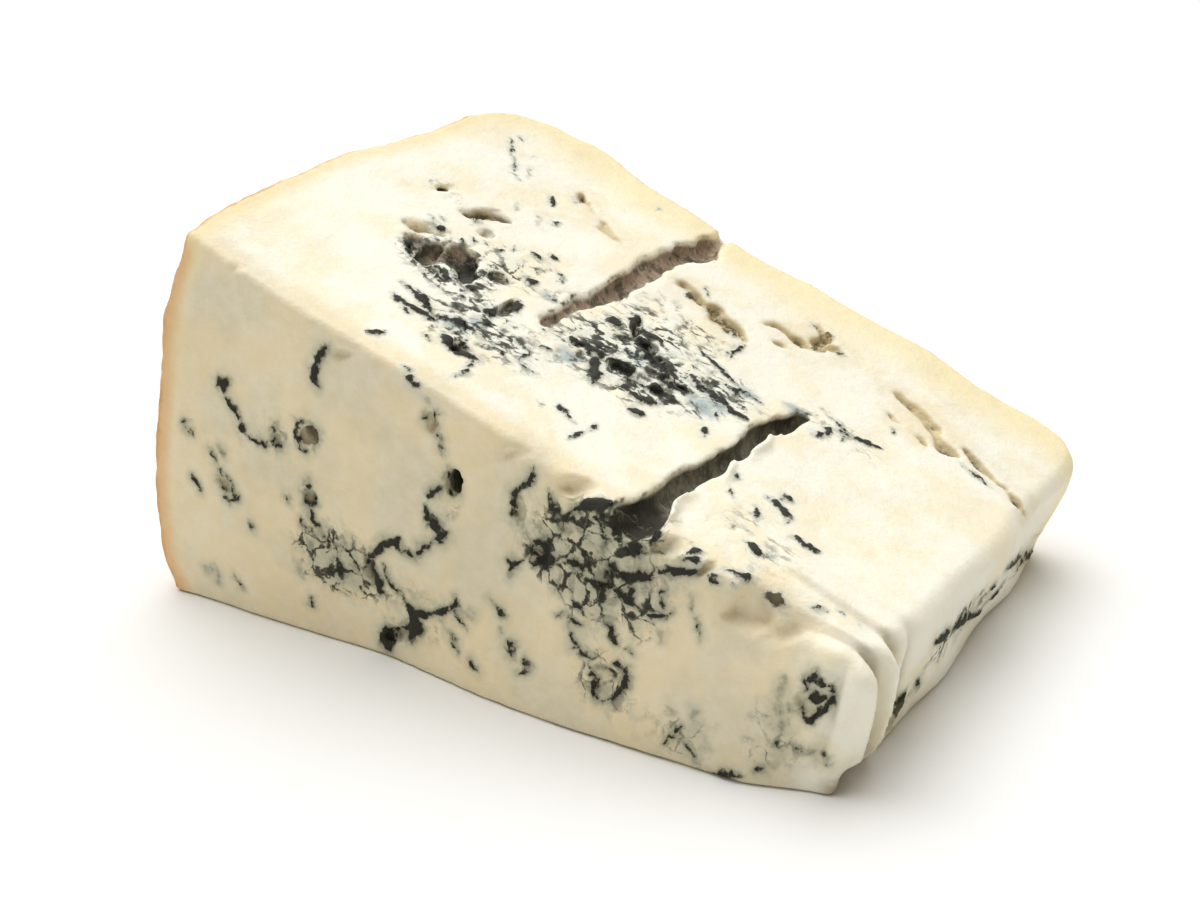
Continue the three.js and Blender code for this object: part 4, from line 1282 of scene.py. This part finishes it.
    # the veins themselves
    breaks = use("ramp", lumps(2.2, 3.0, 0.6, 81.0), 0.52, 0.68, 0.0, 0.22)
    veinGap = use("add", use("add", inkGap, rag), breaks)
    veinShare = use("ramp", veinGap, 0.06, -0.12)
    veinCore = use("ramp", veinGap, -0.02, -0.18)
    veinEdge = use("ramp", use("add", inkGap, rag), 0.6, -0.1, 0.0, 0.65)
    mould = use("larger", use("larger", lineShare, speckShare), veinShare)
    core = use("larger", veinCore, use("ramp", use("subtract", speck, speckFloor), 0.02, 0.09))
    core = use("larger", core, use("ramp", lineGap, -0.05, -0.25))
    colour = use("mixColour", veinEdge, colour, use("mixColour", 0.5, hazeColour, look["mouldEdge"]))
    mouldTone = use("mixColour", core, look["mouldEdge"], look["mould"])
    colour = use("mixColour", use("multiply", mould, 0.93), colour, mouldTone)

    # hollows: grey or brown walls, with painted shade that turns them nearly black at the bottom
    # where the crevices get painted shade, or a real tan stain
    crackShadeShare = use("ramp", use("add", crackShadeGap, rag), 1.2, -0.4)
    warm = use("ramp", use("add", measured["warmGap"], midRag), 0.8, -0.8)
    fluff = lumps(0.7, 4.0, 0.7, 25.0, use("stretch", place, look["wallStreaks"]))
    wallNoise = lumps(1.6, 4.0, 0.7, 91.0)
    wall = use("mixColour", warm, look["hollow"], look["hollowWarm"])
    fluffShare = use("multiply", use("ramp", fluff, 0.42, 0.7, 0.0, 0.8), use("mixNumber", warm, 0.45, 1.0))
    wall = use("mixColour", fluffShare, wall, look["hollowPale"])
    wall = use("mixColour", use("ramp", wallNoise, 0.54, 0.4, 0.0, 0.8), wall, look["mouldEdge"])
    wall = use("mixColour", use("ramp", wallNoise, 0.38, 0.28, 0.0, 0.8), wall, look["blackMouldAndShade"])
    # painted shade inside the crevices, yellow-brown, with a few real tan stains
    stainPatches = use("ramp", lumps(1.0, 4.0, 0.68, 17.0), 0.48, 0.6)
    crackShadeTone = use("mixColour", stainPatches, look["stainAndShadeDeep"], look["stainAndShade"])
    wall = use("mixColour", use("multiply", crackShadeShare, 0.85), wall, crackShadeTone)
    # painted shade: the deeper a wall lies, the nearer black it is
    wall = use("mixColour", use("ramp", sunk, 2.4, 4.2, 0.0, 0.95), wall, look["blackMouldAndShade"])
    # painted shade, near black, at both ends of the second channel and in the heart of the big hollow
    deepShadeShare = use("ramp", use("add", measured["deepShadeGap"], use("multiply", midRag, 2.0)), 0.6, -1.4, 0.0, 0.9)
    wall = use("mixColour", deepShadeShare, wall, look["blackMouldAndShade"])
    # dishes on the halving cut stay pale, the deeper holes don't
    wallStart = use("mixNumber", drag, 0.55, 0.0)
    sunkShare = use("subtract", use("add", sunk, use("multiply", midRag, 0.5)), wallStart)
    sunkShare = use("ramp", sunkShare, 0.35, 0.8, 0.0, 0.96)
    sunkShare = use("multiply", sunkShare, use("ramp", rindGap, 0.3, 1.8))
    pitShare = use("multiply", sunkShare, use("ramp", mould, 0.3, 0.9, 1.0, 0.25))
    colour = use("mixColour", pitShare, colour, wall)
    # mould lines the lips of the hollows, in broken bits
    lip = use("multiply", use("ramp", sunk, 0.02, 0.2), use("ramp", sunk, 0.75, 0.35))
    for share in (
        use("ramp", lumps(2.2, 5.0, 0.68, 95.0), 0.46, 0.58, 0.0, 0.92),
        use("ramp", pocket, 0.02, 0.3, 0.4, 1.0),
        use("mixNumber", drag, 0.5, 1.0),
        use("subtract", 1.0, use("multiply", crackShadeShare, 0.9)),
        use("ramp", rindGap, 1.0, 4.0),
    ):
        lip = use("multiply", lip, share)
    colour = use("mixColour", lip, colour, mouldTone)
    # a faint yellow-brown painted shade along the shallow edge of the crevices
    creviceShadeEdge = use("multiply", crackShadeShare, use("ramp", sunk, 0.03, 0.4, 0.12, 0.8))
    creviceShadeEdge = use("multiply", creviceShadeEdge, use("ramp", sunk, 1.0, 0.5))
    colour = use("mixColour", creviceShadeEdge, colour, look["stainAndShade"])

    # painted shade in the folds of the nose, stronger the deeper the fold and the lower on the nose
    foldPatch = use("ramp", lumps(2.0, 4.0, 0.65, 99.0), 0.3, 0.55, 0.6, 1.0)
    foldTone = use("multiply", use("ramp", measured["fold"], 0.1, 1.5), foldPatch)
    foldTone = use("multiply", foldTone, use("ramp", above, 18.0, 5.0, 0.4, 1.0))
    colour = use("mixColour", foldTone, colour, look["fold"])

    # surface
    dullness = use("larger", mould, use("larger", rindShare, sunkShare))
    wetLumps = lumps(1.4, 3.0, 0.6, 27.0)
    sheen = use("ramp", wetLumps, 0.3, 0.7, look["roughness"] - 0.08, look["roughness"] + 0.12)
    roughness = use("mixNumber", dullness, sheen, look["dullRoughness"])
    soft = lumps(1.5, 4.0, 0.6, 29.0)
    grain = lumps(0.45, 3.0, 0.6, 31.0)
    height = use("add", use("multiply", soft, 0.7), use("multiply", grain, 0.25))
    height = use("subtract", height, use("multiply", mould, 0.8))
    height = use("add", height, use("multiply", use("multiply", rindShare, rindPatches), 1.6))
    height = use("add", height, use("multiply", use("multiply", sunkShare, fluff), 1.2))
    relief = addNode(
        tree, "ShaderNodeBump", {},
        {"Strength": 1.0, "Distance": look["reliefDepth"], "Height": height},
    ).outputs["Normal"]

    shader = addNode(tree, "ShaderNodeBsdfPrincipled", {}, {
        "Base Color": colour,
        "Roughness": roughness,
        "IOR": look["ior"],
        "Specular IOR Level": look["shine"],
        "Normal": relief,
        "Subsurface Weight": use("mixNumber", dullness, look["subsurface"], 0.0),
        "Subsurface Radius": look["subsurfaceShares"],
        "Subsurface Scale": look["subsurfaceDepth"],
    })
    addNode(tree, "ShaderNodeOutputMaterial", {}, {"Surface": shader.outputs["BSDF"]})
    return material


mesh.materials.append(cheeseMaterial(cheeseLook))
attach(cheese, "root")
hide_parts("cheese_wedge")
print("gave the cheese its material")


# Table and light

tableLook = {
    "size": 6.0,              # m
    "colour": "#edeeed",
    "roughness": 0.8,
    "shine": 0.2,
}


def tableTop(look):
    half = look["size"] / 2
    corners = [(-half, -half, 0), (half, -half, 0), (half, half, 0), (-half, half, 0)]
    data = bpy.data.meshes.new("tableTop")
    data.from_pydata(corners, [], [(0, 1, 2, 3)])
    data.update()
    # matt white laminate, so the soft shadow is all that shows
    material = bpy.data.materials.new("Matt white laminate")
    material.use_nodes = True
    shader = material.node_tree.nodes["Principled BSDF"]
    shader.inputs["Base Color"].default_value = linearColour(look["colour"])
    shader.inputs["Roughness"].default_value = look["roughness"]
    shader.inputs["Specular IOR Level"].default_value = look["shine"]
    data.materials.append(material)
    top = bpy.data.objects.new("tableTop", data)
    bpy.context.scene.collection.objects.link(top)
    return top


tableTop(tableLook)

skyLook = {
    "direction": (-0.42, 0.24, 1.2),   # towards the big soft light, behind the cheese
    "strength": 3.45,
    "softness": 75.0,                 # degrees, how wide the light is
    "colour": "#fbfcff",
    "room": 0.33,                     # light from all round
    "roomColour": "#fff2de",
    "backdrop": "#f3f3f1",            # what shows beyond the table
}


def lightUp(look):
    data = bpy.data.lights.new("soft overhead light", "SUN")
    data.energy = look["strength"]
    data.angle = math.radians(look["softness"])
    data.color = linearColour(look["colour"])[:3]
    lamp = bpy.data.objects.new("soft overhead light", data)
    lamp.rotation_euler = Vector(look["direction"]).to_track_quat("Z", "Y").to_euler()
    bpy.context.scene.collection.objects.link(lamp)
    world = bpy.data.worlds.new("pale room")
    world.use_nodes = True
    tree = world.node_tree
    room = tree.nodes["Background"]
    room.inputs["Color"].default_value = linearColour(look["roomColour"])
    room.inputs["Strength"].default_value = look["room"]
    backdrop = addNode(tree, "ShaderNodeBackground", {}, {"Color": look["backdrop"]})
    seen = addNode(tree, "ShaderNodeLightPath").outputs["Is Camera Ray"]
    both = addNode(tree, "ShaderNodeMixShader", {}, {0: seen, 1: room.outputs[0], 2: backdrop.outputs[0]})
    tree.links.new(both.outputs[0], tree.nodes["World Output"].inputs["Surface"])
    bpy.context.scene.world = world
    bpy.context.scene.view_settings.view_transform = "Standard"


lightUp(skyLook)

camera = {
    "azimuth": 31.7,        # degrees round from the halving cut towards the nose
    "elevation": 22.6,      # degrees above the table
    "distance": 0.3159,     # m, from the spot on the table that it looks at
    "aim": (-0.0258, 0.0365, 0.0),   # m, that spot, from the middle of the base
    "lens": 60.0,           # mm
    "sensor": 36.0,         # mm
}


def addCamera(setting):
    azimuth, elevation = math.radians(setting["azimuth"]), math.radians(setting["elevation"])
    back = Vector((
        math.sin(azimuth) * math.cos(elevation),
        -math.cos(azimuth) * math.cos(elevation),
        math.sin(elevation),
    ))
    data = bpy.data.cameras.new("camera")
    data.lens = setting["lens"]
    data.sensor_width = setting["sensor"]
    data.clip_start = 0.01
    data.clip_end = 20.0
    viewer = bpy.data.objects.new("camera", data)
    viewer.location = Vector(setting["aim"]) + back * setting["distance"]
    viewer.rotation_euler = back.to_track_quat("Z", "Y").to_euler()
    bpy.context.scene.collection.objects.link(viewer)
    bpy.context.scene.camera = viewer


addCamera(camera)
print("set the table, the lights and the camera")
